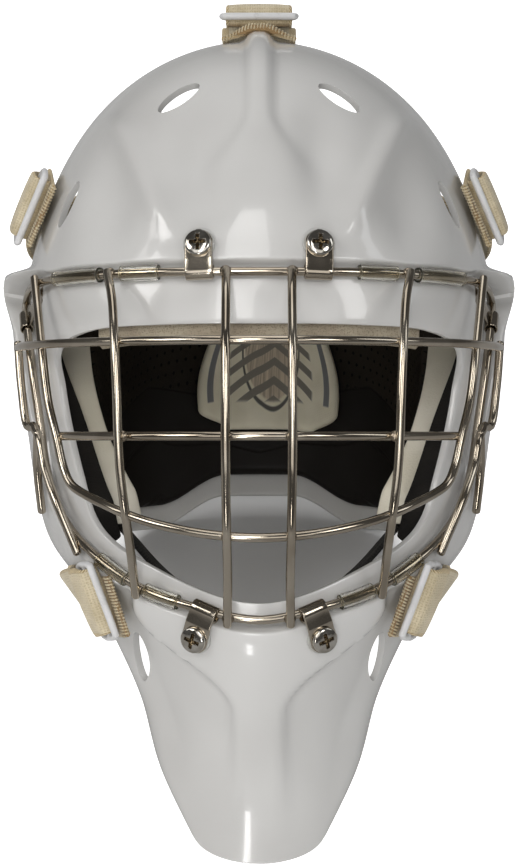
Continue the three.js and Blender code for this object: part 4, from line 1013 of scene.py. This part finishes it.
def plate_point(u, v, depth):
    """The plate's section less normal * depth, its lower edge let down at both sides of the nape."""
    plain = section(PLATE_TABLE, u, v)
    arch = smooth(18, 56, np.abs(plain[..., 0])) * smooth(0.72, 1, v)
    point = plain - facing(PLATE_TABLE, u, v, turn=-1) * np.asarray(depth, float)[..., None]
    return point - np.stack([0 * arch, 0 * arch, NAPE_DROP * arch], -1)


def places_with_rim(count, rim):
    """Places 0..1 with extra ones near both ends: rim (1 - cos t) at the ends, even steps between."""
    turn = np.linspace(0, math.pi / 2, 6)
    start = rim * (1 - np.cos(turn))
    return np.r_[start, np.linspace(rim, 1 - rim, count)[1:-1], 1 - start[::-1]]


def pillow(point_at, from_v, to_v, edge, near, far, rim, counts):
    """A closed sheet or pad between two depths, with rounded edges all round.

    `a` runs across and `b` down. Half thickness = t(a) t(b), t(x) = sqrt(1 - (1 - d / rim)^2) within a
    rim of each edge and 1 inside it.
    """
    a = places_with_rim(counts[0], rim[0])
    b = places_with_rim(counts[1], rim[1])
    round_a = np.sqrt(np.maximum(0, 1 - np.maximum(0, 1 - np.minimum(a, 1 - a) / rim[0]) ** 2))
    round_b = np.sqrt(np.maximum(0, 1 - np.maximum(0, 1 - np.minimum(b, 1 - b) / rim[1]) ** 2))
    share = round_b[:, None] * round_a
    v = mix(from_v, to_v, b)[:, None] + 0 * share
    start, stop = edge(v)
    u = mix(start, stop, a)
    near_depth = near(v) if callable(near) else near
    far_depth = far(v) if callable(far) else far
    middle, half = (near_depth + far_depth) / 2, (far_depth - near_depth) / 2
    top = point_at(u, v, middle - half * share)
    bottom = point_at(u, v, middle + half * share)
    layout = np.stack([a[None] + 0 * share, b[:, None] + 0 * share], -1)
    return [{"grid": np.concatenate([top, bottom[::-1]]), "round_rows": True,
             "map": np.concatenate([layout, layout[::-1]])}]


def full_width(reach):
    """A function that gives the range of u, from -reach to reach, at every v."""
    return lambda v: (-reach + 0 * v, reach + 0 * v)


plate_sheet = pillow(plate_point, 0, 1, full_width(1), 0.0, PLATE_WALL, (0.006, 0.009), (220, 130))
plate_plastic, tree, satin, plate_colour = grained_material(
    "plate_plastic", 700, 16, 0.32, 0.1, (0.57, 0.56, 0.535, 1), (0.64, 0.63, 0.61, 1))
finish_with(plate_plastic, satin["Height"], 0.2, 0.0003, plate_colour, satin["Roughness"])
add_piece("nape_plate", plate_sheet, plate_plastic, "back_plate")

# ---------------------------------------------------------------- foam on the back plate
# A sheet of black perforated foam glued into the plate, moulded smooth below, with a cream printed
# cloth pad in its middle for the back of the head.
FOAM_FROM = PLATE_WALL + 1.3
FOAM_THICK = 10
OCCIPITAL_FROM = FOAM_FROM + FOAM_THICK + 1.8
OCCIPITAL_THICK = 7
PAD_SHIFT = 0.045
GROOVE_PITCH = 0.055


def occipital_edge(v):
    """The pad widens downwards by a soft step and is drawn in at its lower corners by another.

    It sits PAD_SHIFT off the middle.
    """
    reach = mix(0.18, 0.284, smooth(0.58, 0.785, v)) * (1 - 0.42 * smooth(0.805, 0.86, v))
    return PAD_SHIFT - reach, PAD_SHIFT + reach


# Holes: round pits in staggered rows over a map that runs 0..1 both ways.
holes, given, result = make_group(
    "holes",
    [("Place", "Vector", (0, 0, 0)), ("Across", "Float", 50.0), ("Down", "Float", 40.0),
     ("Size", "Float", 0.2)],
    [("Depth", "Float")],
)
place = add_node(holes, "ShaderNodeSeparateXYZ", {0: given["Place"]}).outputs
row = calculate(holes, "MULTIPLY", place[1], given["Down"])
odd = calculate(holes, "MULTIPLY", calculate(holes, "PINGPONG", calculate(holes, "FLOOR", row), 1), 0.5)
column = calculate(holes, "MULTIPLY_ADD", place[0], given["Across"], odd)
squares = [calculate(holes, "POWER", calculate(holes, "SUBTRACT", calculate(holes, "FRACT", count), 0.5), 2)
           for count in (row, column)]
away = calculate(holes, "SQRT", calculate(holes, "ADD", *squares))
pit = calculate(holes, "DIVIDE", away, given["Size"])
holes.links.new(ramp(holes, pit, 0.7, 1.1, 1, 0), result["Depth"])

foam_black, tree, cells, cut_colour = grained_material(
    "black_foam", 1500, 25, 0.72, 0.25, (0.014, 0.011, 0.008, 1), (0.026, 0.021, 0.015, 1),
    Specular_IOR_Level=0.2)
lay, spot = lay_map(tree)
pits = place_group(tree, holes, Place=lay, Across=46, Down=34, Size=0.17)["Depth"]
peak = away_from(tree, away_from(tree, spot[0], 0.5), 0.25)
border = calculate(tree, "MULTIPLY_ADD", peak, 0.3, 0.765)
below = calculate(tree, "SUBTRACT", spot[1], border)
skin = ramp(tree, below, -0.004, 0.004)
line_gap = calculate(tree, "PINGPONG", calculate(tree, "MAXIMUM", below, 0.0), GROOVE_PITCH)
pressed = ramp(tree, line_gap, 0.001, 0.006, 1, 0)
pierced = product(tree, pits, calculate(tree, "SUBTRACT", 1.0, skin))
grooves = product(tree, pressed, skin)
lumps = product(tree, cells["Height"], calculate(tree, "MULTIPLY_ADD", skin, -0.7, 0.8))
foam_height = calculate(tree, "SUBTRACT", calculate(tree, "SUBTRACT", lumps, pierced), grooves)
foam_height = calculate(tree, "MULTIPLY_ADD", skin, 0.7, foam_height)
skin_colour = two_tone(tree, skin, cut_colour, (0.012, 0.010, 0.0085, 1))
# Painted shade: the perforations are coloured near black on top of their bump.
foam_colour = two_tone(tree, pierced, skin_colour, (0.002, 0.002, 0.002, 1))
foam_rough = calculate(tree, "MULTIPLY_ADD", skin, -0.08, cells["Roughness"])
finish_with(foam_black, foam_height, 0.6, 0.0008, foam_colour, foam_rough)
foam_sheet = pillow(plate_point, 0.055, 0.945, full_width(0.95), FOAM_FROM, FOAM_FROM + FOAM_THICK,
                    (0.008, 0.012), (150, 110))
foam_piece = add_piece("nape_foam", foam_sheet, foam_black, "back_plate_foam")

# Weave: threads over and under one another, Along and Across of them to one unit of the map, as a height
# and a mask of the gaps between them.
weave, given, result = make_group(
    "weave",
    [("Place", "Vector", (0, 0, 0)), ("Along", "Float", 1000.0), ("Across", "Float", 1000.0)],
    [("Height", "Float"), ("Gaps", "Float")],
)
place = add_node(weave, "ShaderNodeSeparateXYZ", {0: given["Place"]}).outputs
warp, weft = (calculate(weave, "SINE", product(weave, place[way], given[count], math.pi))
              for way, count in ((0, "Along"), (1, "Across")))
over = product(weave, warp, weft)
thread = calculate(weave, "MAXIMUM", *(calculate(weave, "ABSOLUTE", wave) for wave in (warp, weft)))
woven = calculate(weave, "MULTIPLY_ADD", over, 0.25, product(weave, thread, 0.75))
weave.links.new(woven, result["Height"])
weave.links.new(ramp(weave, thread, 0.55, 0.9, 1, 0), result["Gaps"])

# The print: chevrons and a brushed oval panel with a piped edge, and a band down either side.
cream_cloth, tree, nap, ground = grained_material(
    "cream_print", 900, 60, 0.72, 0.15, (0.83, 0.77, 0.59, 1), (0.93, 0.87, 0.69, 1))
lay, spot = lay_map(tree)
cloth = place_group(tree, weave, Place=lay, Along=110, Across=150)
to_side = away_from(tree, spot[0], 0.5)
to_middle = away_from(tree, spot[1], 0.42)
oval = calculate(tree, "ADD", *(
    calculate(tree, "POWER", calculate(tree, "DIVIDE", distance, radius), 2)
    for distance, radius in ((to_side, 0.2), (to_middle, 0.46))))
oval_inside = ramp(tree, oval, 0.92, 1.0, 1, 0)
piping = ramp(tree, away_from(tree, oval, 1.12), 0.03, 0.08, 1, 0)
vee = calculate(tree, "MULTIPLY_ADD", to_side, -0.55, spot[1])
steps = away_from(tree, calculate(tree, "FRACT", product(tree, vee, 11)), 0.5)
banded = product(tree, ramp(tree, steps, 0.2, 0.25, 1, 0), ramp(tree, spot[1], 0.5, 0.52),
                 ramp(tree, spot[1], 0.86, 0.88, 1, 0), ramp(tree, to_side, 0.27, 0.29, 1, 0))
drawn_out = add_node(tree, "ShaderNodeMapping", {"Vector": lay, "Scale": (90, 3, 1)}).outputs[0]
brush_feeds = {"Vector": drawn_out, "Scale": 1.0, "Detail": 3.0}
brushed = add_node(tree, "ShaderNodeTexNoise", brush_feeds).outputs["Fac"]
brushed = ramp(tree, brushed, 0.3, 0.7)
panel = two_tone(tree, brushed, (0.42, 0.34, 0.25, 1), (0.74, 0.63, 0.48, 1))
printed = two_tone(tree, oval_inside, ground, panel)
printed = two_tone(tree, piping, printed, (0.13, 0.125, 0.11, 1))
printed = two_tone(tree, banded, printed, (0.26, 0.24, 0.20, 1))
side_line = away_from(tree, to_side, 0.405)
side_band = product(tree, ramp(tree, side_line, 0.022, 0.028, 1, 0),
                    ramp(tree, spot[1], 0.12, 0.13), ramp(tree, spot[1], 0.86, 0.87, 1, 0))
printed = two_tone(tree, side_band, printed, (0.22, 0.22, 0.22, 1))
pad_height = calculate(tree, "MULTIPLY_ADD", piping, -0.8, product(tree, cloth["Height"], 0.35))
finish_with(cream_cloth, pad_height, 0.5, 0.0007, printed, nap["Roughness"])
occipital_form = pillow(plate_point, 0.4, 0.86, occipital_edge, OCCIPITAL_FROM,
                        OCCIPITAL_FROM + OCCIPITAL_THICK, (0.07, 0.05), (70, 70))
occipital = add_piece("occipital_cushion", occipital_form, cream_cloth, "occipital_pad",
                      crease=60)

# ---------------------------------------------------------------- padding inside the face shell
# At each cheek a black liner glued to the shell and a cream cheek pad over it; across the forehead a
# strip of beige foam with cut edges.
LINER_FROM = SEAT_DEPTH + SHELL_WALL + 1.4
CHEEK_SEAM_AT = 0.16
CHEEK_STITCHES = 46


def liner_to(v):
    """The liner grows from 6 to 11 mm thick downwards."""
    return LINER_FROM + mix(6, 11, smooth(0.38, 0.56, v))


def cheek_front(v):
    """The u of the cheek pad's front edge, which comes forward on its way down."""
    return mix(0.86, 0.585, np.clip((v - 0.385) / 0.19, 0, 1) ** 1.35)


def cheek_from(v):
    """The cheek pad starts a little above the liner."""
    return liner_to(v) + 1


def cheek_to(v):
    """The cheek pad is 10.5 mm thick, and fuller at its top and bottom."""
    return liner_to(v) + 11.5 + 4.5 * (1 - smooth(0.385, 0.5, v)) + 5.5 * smooth(0.5, 0.59, v)


def plain_shell(u, v, depth):
    """A point below the shell's plain sections."""
    return section(SHELL_ROWS, u, v) - facing(SHELL_ROWS, u, v) * np.asarray(depth, float)[..., None]


liner_black, tree, lint, liner_colour = grained_material(
    "black_liner", 1800, 60, 0.85, 0.2, (0.009, 0.008, 0.007, 1), (0.018, 0.016, 0.014, 1),
    Specular_IOR_Level=0.2)
brushed_knit = place_group(tree, weave, Place=lay_map(tree)[0], Along=90, Across=160)
finish_with(liner_black, brushed_knit["Height"], 0.4, 0.0004, liner_colour, lint["Roughness"])


def little_cells(tree, fineness):
    """Distance from the middles of small cells, `fineness` to the metre."""
    feeds = {"Vector": object_place(tree), "Scale": fineness}
    return add_node(tree, "ShaderNodeTexVoronoi", feeds).outputs["Distance"]


leather, tree, hide, hide_colour = grained_material(
    "cream_leather", 600, 30, 0.5, 0.18, (0.72, 0.67, 0.54, 1), (0.83, 0.78, 0.66, 1))
pores = little_cells(tree, 1100.0)
spot = lay_map(tree)[1]
seam_off = away_from(tree, spot[0], CHEEK_SEAM_AT)
dash = calculate(tree, "FRACT", product(tree, spot[1], CHEEK_STITCHES))
stitch = product(tree, ramp(tree, seam_off, 0.004, 0.009, 1, 0),
                 ramp(tree, dash, 0.28, 0.36))
crease_and_shade = ramp(tree, seam_off, 0.004, 0.03, 1, 0)
# Painted shade: the leather is coloured darker along the seam's crease, which the bump also dents.
hide_colour = two_tone(tree, crease_and_shade, hide_colour, (0.50, 0.45, 0.34, 1))
hide_colour = two_tone(tree, stitch, hide_colour, (0.80, 0.74, 0.58, 1))
hide_height = calculate(tree, "MULTIPLY_ADD", crease_and_shade, -1.6, product(tree, pores, 0.5))
hide_height = calculate(tree, "MULTIPLY_ADD", stitch, 1.4, hide_height)
finish_with(leather, hide_height, 0.45, 0.0006, hide_colour, hide["Roughness"])
for half, side in SIDES:
    def liner_edge(v, half=half):
        """The liner's u runs from a little before the cheek pad's front edge to the rear."""
        return half * (cheek_front(v) - 0.06), half * 0.965 + 0 * v

    def cheek_edge(v, half=half):
        """The cheek pad's u runs from its front edge to the rear."""
        return half * cheek_front(v), half * 0.95 + 0 * v

    liner_form = pillow(plain_shell, 0.385, 0.62, liner_edge, LINER_FROM, liner_to, (0.02, 0.02), (50, 70))
    liner = add_piece(f"cheek_backing_{side}", liner_form, liner_black, f"cheek_liner_{side}")
    cheek_form = pillow(plain_shell, 0.383, 0.612, cheek_edge, cheek_from, cheek_to, (0.05, 0.03), (50, 70))
    cheek = add_piece(f"cheek_cushion_{side}", cheek_form, leather, f"cheek_pad_{side}",
                      crease=60)

beige_foam, tree, crumb, cell_walls = grained_material(
    "beige_foam", 1300, 40, 0.85, 0.15, (0.30, 0.25, 0.18, 1), (0.40, 0.35, 0.26, 1))
open_cells = ramp(tree, little_cells(tree, 1500.0), 0.1, 0.5)
# Painted shade: the middles of the open cells are coloured dark brown, as well as sunk by the bump.
beige_colour = two_tone(tree, open_cells, (0.19, 0.15, 0.10, 1), cell_walls)
finish_with(beige_foam, open_cells, 0.6, 0.0005, beige_colour, crumb["Roughness"])
forehead_form = pillow(plain_shell, 0.345, 0.43, full_width(0.45), LINER_FROM + 0.2, LINER_FROM + 8,
                       (0.02, 0.08), (90, 24))
forehead = add_piece("forehead_strip", forehead_form, beige_foam, "forehead_pad")

# ---------------------------------------------------------------- the chin sling
# A cup strap of black woven tape, hung across the chin between the cheek pads. Its ends run on under the
# pads, where they are held.
SLING_WIDE = 22
SLING_THICK = 3
SLING_HALF = [(65.9, -19.2, -40.3), (58, -24, -49.4), (44, -30, -64), (26, -35, -77), (0, -38, -84)]
sling_line = smooth_line(both_halves(SLING_HALF), 1.5)
sling_along = tangents(sling_line)
sling_way = unit(backwards - sling_along * sling_along[:, 1:2])
sling_up = np.cross(sling_way, sling_along)
webbing, tree, fluff, tape_threads = grained_material(
    "black_webbing", 2000, 60, 0.8, 0.2, (0.016, 0.015, 0.013, 1), (0.030, 0.027, 0.024, 1))
tape = place_group(tree, weave, Place=lay_map(tree)[0], Along=700, Across=900)
# Painted shade: the gaps between the tape's threads are coloured near black.
webbing_colour = two_tone(tree, tape["Gaps"], tape_threads, (0.004, 0.004, 0.004, 1))
finish_with(webbing, tape["Height"], 0.7, 0.0006, webbing_colour, fluff["Roughness"])
sling_band = ribbon(sling_line, sling_up, sling_way, SLING_WIDE / 2, SLING_THICK / 2, across=14)
add_piece("chin_tape", [capped(sling_band)], webbing, "chin_sling")

# ---------------------------------------------------------------- straps and sliders
# Five lengths of knitted elastic, each folded over the bars of a white moulded slider on the shell and
# sewn down, run back on to the back plate. The cut end is overlocked with thick thread.
ELASTIC = 2
STANDOFF = 0.6
PLATE_LIFT = 0.4
PLATE_STOPS = 7
STITCH_PITCH = 1.5
BINDING_THREAD = 0.44
SLIDER = {"half_width": 19, "length": 14.8, "rail": 1.6, "bar": 2.8, "thick": 3.2, "height": 6.6, "from": 6}
RIDGE_DROP = 5.6
FLARE = 2.5
VOXEL = 0.00055
UNDER = STANDOFF + ELASTIC / 2
OVER = SLIDER["height"] + SLIDER["thick"] / 2 + 0.9 + ELASTIC / 2
FOLD = SLIDER["from"] + SLIDER["bar"] + 0.5 + ELASTIC / 2
UPPER_LEG = [(FOLD + 6, UNDER + 1.0), (FOLD + 3, UNDER + 1.3), (FOLD + 0.6, UNDER + 2.2), (FOLD, UNDER + 4),
             (FOLD, OVER - 2.2), (FOLD + 0.7, OVER - 0.6), (FOLD + 2.6, OVER), (FOLD + 6, OVER + 0.1),
             (FOLD + 10.5, OVER), (FOLD + 16, mix(OVER, UNDER, 0.45)), (FOLD + 21, UNDER + 1),
             (FOLD + 26, UNDER + 0.4)]
# The side straps start on the shell at these x and z.
upper_u, upper_v = (float(q) for q in shell_uv(97, 99.5))
lower_u, lower_v = (float(q) for q in shell_uv(60, -71.5))
STRAP_TABLE = [
    # name, mirror, stops on the shell and on the plate (u, v), roll, lift, width, the sewn end's start,
    # width and shift
    ("top", 1, [(0, 0.052), (0, 0.026), (0, 0)], [(0, 0.03), (0, 0.12), (0, 0.28)], 0, 0.3, 32, (0, 36, 0)),
]
for half, side in SIDES:
    upper = [(upper_u, upper_v), ((upper_u + 0.87) / 2, upper_v / 2), (0.87, 0)]
    lower = [(lower_u, lower_v), ((lower_u + 1) / 2, (lower_v + 0.75) / 2), (1, 0.75)]
    STRAP_TABLE.append((f"upper_{side}", half, upper, [(0.85, 0.06), (0.76, 0.16), (0.62, 0.24)],
                        0, 3.1, 30, (0, 31.5, 0)))
    STRAP_TABLE.append((f"lower_{side}", half, lower, [(1, 0.865), (0.86, 0.82), (0.72, 0.78)],
                        half * -7, 4.4, 31, (4, 29, half * -5)))


def make_route(mirror, shell_stops, plate_stops):
    """A route's fine points and normals: centripetal curves through its stops on the shell and the plate."""
    flip = np.array([mirror, 1])
    on_face = np.array(shell_stops) * flip
    stops = range(len(plate_stops))
    along = np.linspace(0, stops[-1], PLATE_STOPS)
    on_plate = np.stack([np.interp(along, stops, column) for column in np.array(plate_stops).T], -1) * flip
    points = np.vstack([shell_point(on_face[:, 0], on_face[:, 1], np.zeros(len(on_face))),
                        plate_point(on_plate[:, 0], on_plate[:, 1], np.zeros(PLATE_STOPS))])
    normals = np.vstack([facing(SHELL_ROWS, on_face[:, 0], on_face[:, 1]),
                         facing(PLATE_TABLE, on_plate[:, 0], on_plate[:, 1], turn=-1)])
    t = np.linspace(0, 1, 1601)
    line = centripetal(points, t)
    length = np.r_[0, np.cumsum(np.linalg.norm(np.diff(line, axis=0), axis=1))]
    shell_edge = np.interp((len(on_face) - 1) / (len(points) - 1), t, length)
    return {"line": line, "normal": centripetal(normals, t), "length": length, "edge": shell_edge}


def route_at(route, s, roll, lift):
    """Places along a route: point, direction, normal and width direction, rolled at the start and lifted."""
    s = np.clip(s, 0, route["length"][-1])
    ways = tangents(route["line"])
    point, along, normal = (
        np.stack([np.interp(s, route["length"], column) for column in table.T], -1)
        for table in (route["line"], ways, route["normal"])
    )
    along = unit(along)
    normal = unit(normal - along * (normal * along).sum(-1, keepdims=True))
    turn = np.radians(roll) * (1 - smooth(24, 60, s))[..., None]
    normal = normal * np.cos(turn) + np.cross(along, normal) * np.sin(turn)
    height = mix(lift, PLATE_LIFT, smooth(24, 100, s - route["edge"]))
    return point + normal * height[..., None], along, normal, np.cross(normal, along)


def elastic_band(route, roll, lift, profile, width, shift, arch=None, flare=0.0):
    """A flat band whose side view is the smooth line through (s, height) over the route.

    `flare` mm are added to its width on one side past the fold.
    """
    side_view = np.array(profile)
    fine = smooth_line(np.stack([side_view[:, 0], 0 * side_view[:, 0], side_view[:, 1]], -1), 0.7)
    s, height = fine[:, 0], fine[:, 2]
    slope = tangents(fine)
    point, along, normal, way = route_at(route, s, roll, lift)
    wider = flare * smooth(9, 18, s) * (1 - smooth(42, 80, s))
    sideways_by = shift * (1 - smooth(12, 36, s)) + wider / 2
    line = point + normal * height[:, None] + way * sideways_by[:, None]
    up = normal * slope[:, :1] - along * slope[:, 2:]
    band = ribbon(line, up, way, (width + np.abs(wider)) / 2, ELASTIC / 2, arch=arch, across=26)
    return capped(band), line, up, way


def overlock(line, up, way, width, drape):
    """Thread wound round a cut end: middle + a (cos t) + b (sin t), once in every STITCH_PITCH across."""
    turns = width / STITCH_PITCH
    t = np.linspace(0, 2 * math.pi * turns, int(12 * turns))[:, None]
    across = (t / t[-1] - 0.5) * (width - 1)
    along = unit(line[2] - line[0])
    rise = drape(across, 0 * across)
    loose = 1 + 0.14 * np.sin(3.7 * t) * np.sin(0.61 * t)
    raised = up[1] * (rise + 1.45 * loose * np.sin(t))
    path = line[1] + way[1] * across + raised + along * (1.3 + 2.2 * loose * np.cos(t))
    thread = rod(path, BINDING_THREAD, way[1], sides=6)
    thread["map"] = np.full(thread["grid"].shape[:2] + (2,), 0.03)
    thread["map"][..., 0] = np.linspace(0, 1, thread["grid"].shape[0])[:, None]
    return thread


def slider_bars(matrix):
    """A slider's three flat cross bars and two round side rails, carried to its place by the matrix."""
    length, bar = SLIDER["length"], SLIDER["bar"]
    reach = SLIDER["half_width"] - SLIDER["rail"]
    bars = []
    for y, sag in ((bar / 2, 0.0), (length / 2, -0.3), (length - bar / 2, 0.0)):
        x = np.linspace(-reach, reach, 24)
        line = np.stack([x, y + 0 * x, sag + 0 * x], -1)
        way = backwards + 0 * line
        bars.append(capped(ribbon(line, upwards + 0 * line, way, bar / 2 + 0.4, 1.85, across=6)))
    for x in (-1, 1):
        bend = [(reach - 1.6, bar / 2), (reach, bar), (reach + 0.2, 4.5)]
        rail = [(x * out, y, 0) for out, y in bend] + [(x * out, length - y, 0) for out, y in bend[::-1]]
        bars.append(rod(smooth_line(rail, 0.8), 1.65, upwards, sides=12))
    for part in bars:
        part["grid"] = moved(matrix, part["grid"])
    return bars


# The elastic: a knit that wanders a little, bound edges with slanting loops, and the thread of the binding,
# which the map puts past the edge.
elastic, tree, fuzz, plain_knit = grained_material(
    "knit_elastic", 2200, 70, 0.86, 0.15, (0.53, 0.45, 0.30, 1), (0.66, 0.575, 0.41, 1), Sheen_Weight=0.25)
lay, spot = lay_map(tree)
across = calculate(tree, "WRAP", spot[1], 0.05, -0.05)
loose_feeds = {"Vector": object_place(tree), "Scale": 900.0}
loose = add_node(tree, "ShaderNodeTexNoise", loose_feeds).outputs["Color"]
wander_feeds = {0: loose, 1: (0.0009, 0.0009, 0), 2: lay}
wander = add_node(tree, "ShaderNodeVectorMath", wander_feeds, operation="MULTIPLY_ADD").outputs[0]
knit = place_group(tree, weave, Place=wander, Along=1050, Across=850)
to_edge = calculate(tree, "ABSOLUTE", across)
bound = ramp(tree, to_edge, 0.0143, 0.0148)
lean = calculate(tree, "MULTIPLY_ADD", to_edge, 900.0, product(tree, spot[0], 780.0))
off_loop = away_from(tree, calculate(tree, "FRACT", lean), 0.5)
loops = ramp(tree, off_loop, 0.12, 0.4, 1, 0)
# Painted shade: the gaps of the knit are coloured darker brown.
gaps = product(tree, knit["Gaps"], 0.4)
plain_knit = two_tone(tree, gaps, plain_knit, (0.36, 0.28, 0.15, 1))
# Painted shade: the band's cut end, under the overlock coil, is coloured dark brown.
shade_under_coil = product(tree, ramp(tree, spot[0], 0.0035, 0.007, 1, 0), 0.9)
plain_knit = two_tone(tree, shade_under_coil, plain_knit, (0.26, 0.15, 0.05, 1))
# The bound edge's loops are golden thread; between them it is coloured dark brown as painted shade.
edge_thread = two_tone(tree, loops, (0.42, 0.29, 0.13, 1), (0.80, 0.68, 0.44, 1))
elastic_colour = two_tone(tree, bound, plain_knit, edge_thread)
coil_thread = two_tone(tree, fuzz["Drift"], (0.74, 0.61, 0.38, 1), (0.90, 0.79, 0.56, 1))
on_coil = ramp(tree, to_edge, 0.02, 0.025)
elastic_colour = two_tone(tree, on_coil, elastic_colour, coil_thread)
knit_part = product(tree, knit["Height"], calculate(tree, "MULTIPLY_ADD", bound, -0.6, 0.6))
edge_loops = product(tree, loops, bound)
elastic_height = calculate(tree, "MULTIPLY_ADD", edge_loops, 1.2, knit_part)
finish_with(elastic, elastic_height, 0.8, 0.0008, elastic_colour, fuzz["Roughness"])
slider_white, tree, moulding, slider_colour = grained_material(
    "slider_plastic", 900, 120, 0.33, 0.14, (0.62, 0.62, 0.62, 1), (0.67, 0.67, 0.68, 1), Coat_Weight=0.1)
finish_with(slider_white, moulding["Height"], 0.05, 0.0003, slider_colour, moulding["Roughness"])
for name, mirror, shell_stops, plate_stops, roll, lift, width, sewn in STRAP_TABLE:
    route = make_route(mirror, shell_stops, plate_stops)
    sewn_from, sewn_width, shift = sewn
    lower_leg = [(s, UNDER) for s in (sewn_from, 12, 24, 38, *np.linspace(54, route["length"][-1], 12))]
    ridge_drop = RIDGE_DROP if name == "top" else 0.0
    flare = mirror * FLARE if name.startswith("lower") else 0.0

    def drape(across, along, ridge_drop=ridge_drop):
        """The elastic falls to both sides of the crown ridge by soft steps across and along it."""
        return -ridge_drop * smooth(3.5, 17, np.abs(across)) * (1 - smooth(14, 30, along))

    def puff(across, along, half_wide=width / 2):
        """The folded elastic is bowed across its width as half an ellipse."""
        return 0.9 * np.sqrt(np.maximum(0, 1 - (across / half_wide) ** 2)) * smooth(0, 5, along)

    lower_band, sewn_line, sewn_up, sewn_way = elastic_band(
        route, roll, lift, lower_leg, sewn_width, shift, drape, flare)
    upper_band, *_ = elastic_band(route, roll, lift, UPPER_LEG, width, 0, puff, flare)
    binding = overlock(sewn_line, sewn_up, sewn_way, sewn_width, drape)
    strap = [lower_band, upper_band, binding]
    add_piece(f"elastic_{name}", strap, elastic, f"strap_{name}", crease=50)

    middle_at = np.array([SLIDER["from"] + SLIDER["length"] / 2])
    point, along, normal, _ = route_at(route, middle_at, roll, lift)
    front = point[0] - along[0] * SLIDER["length"] / 2 + normal[0] * SLIDER["height"]
    matrix = placing(front, normal[0], np.cross(along[0], normal[0]))
    bars = slider_bars(matrix)
    slider_piece = add_piece(f"moulded_slider_{name}", bars, slider_white, f"slider_{name}")
    melt = slider_piece.modifiers.new("one_moulding", "REMESH")
    melt.mode = "VOXEL"
    melt.voxel_size = VOXEL
    melt.use_smooth_shade = True
    soften = slider_piece.modifiers.new("soften", "SMOOTH")
    soften.factor = 0.5
    soften.iterations = 10
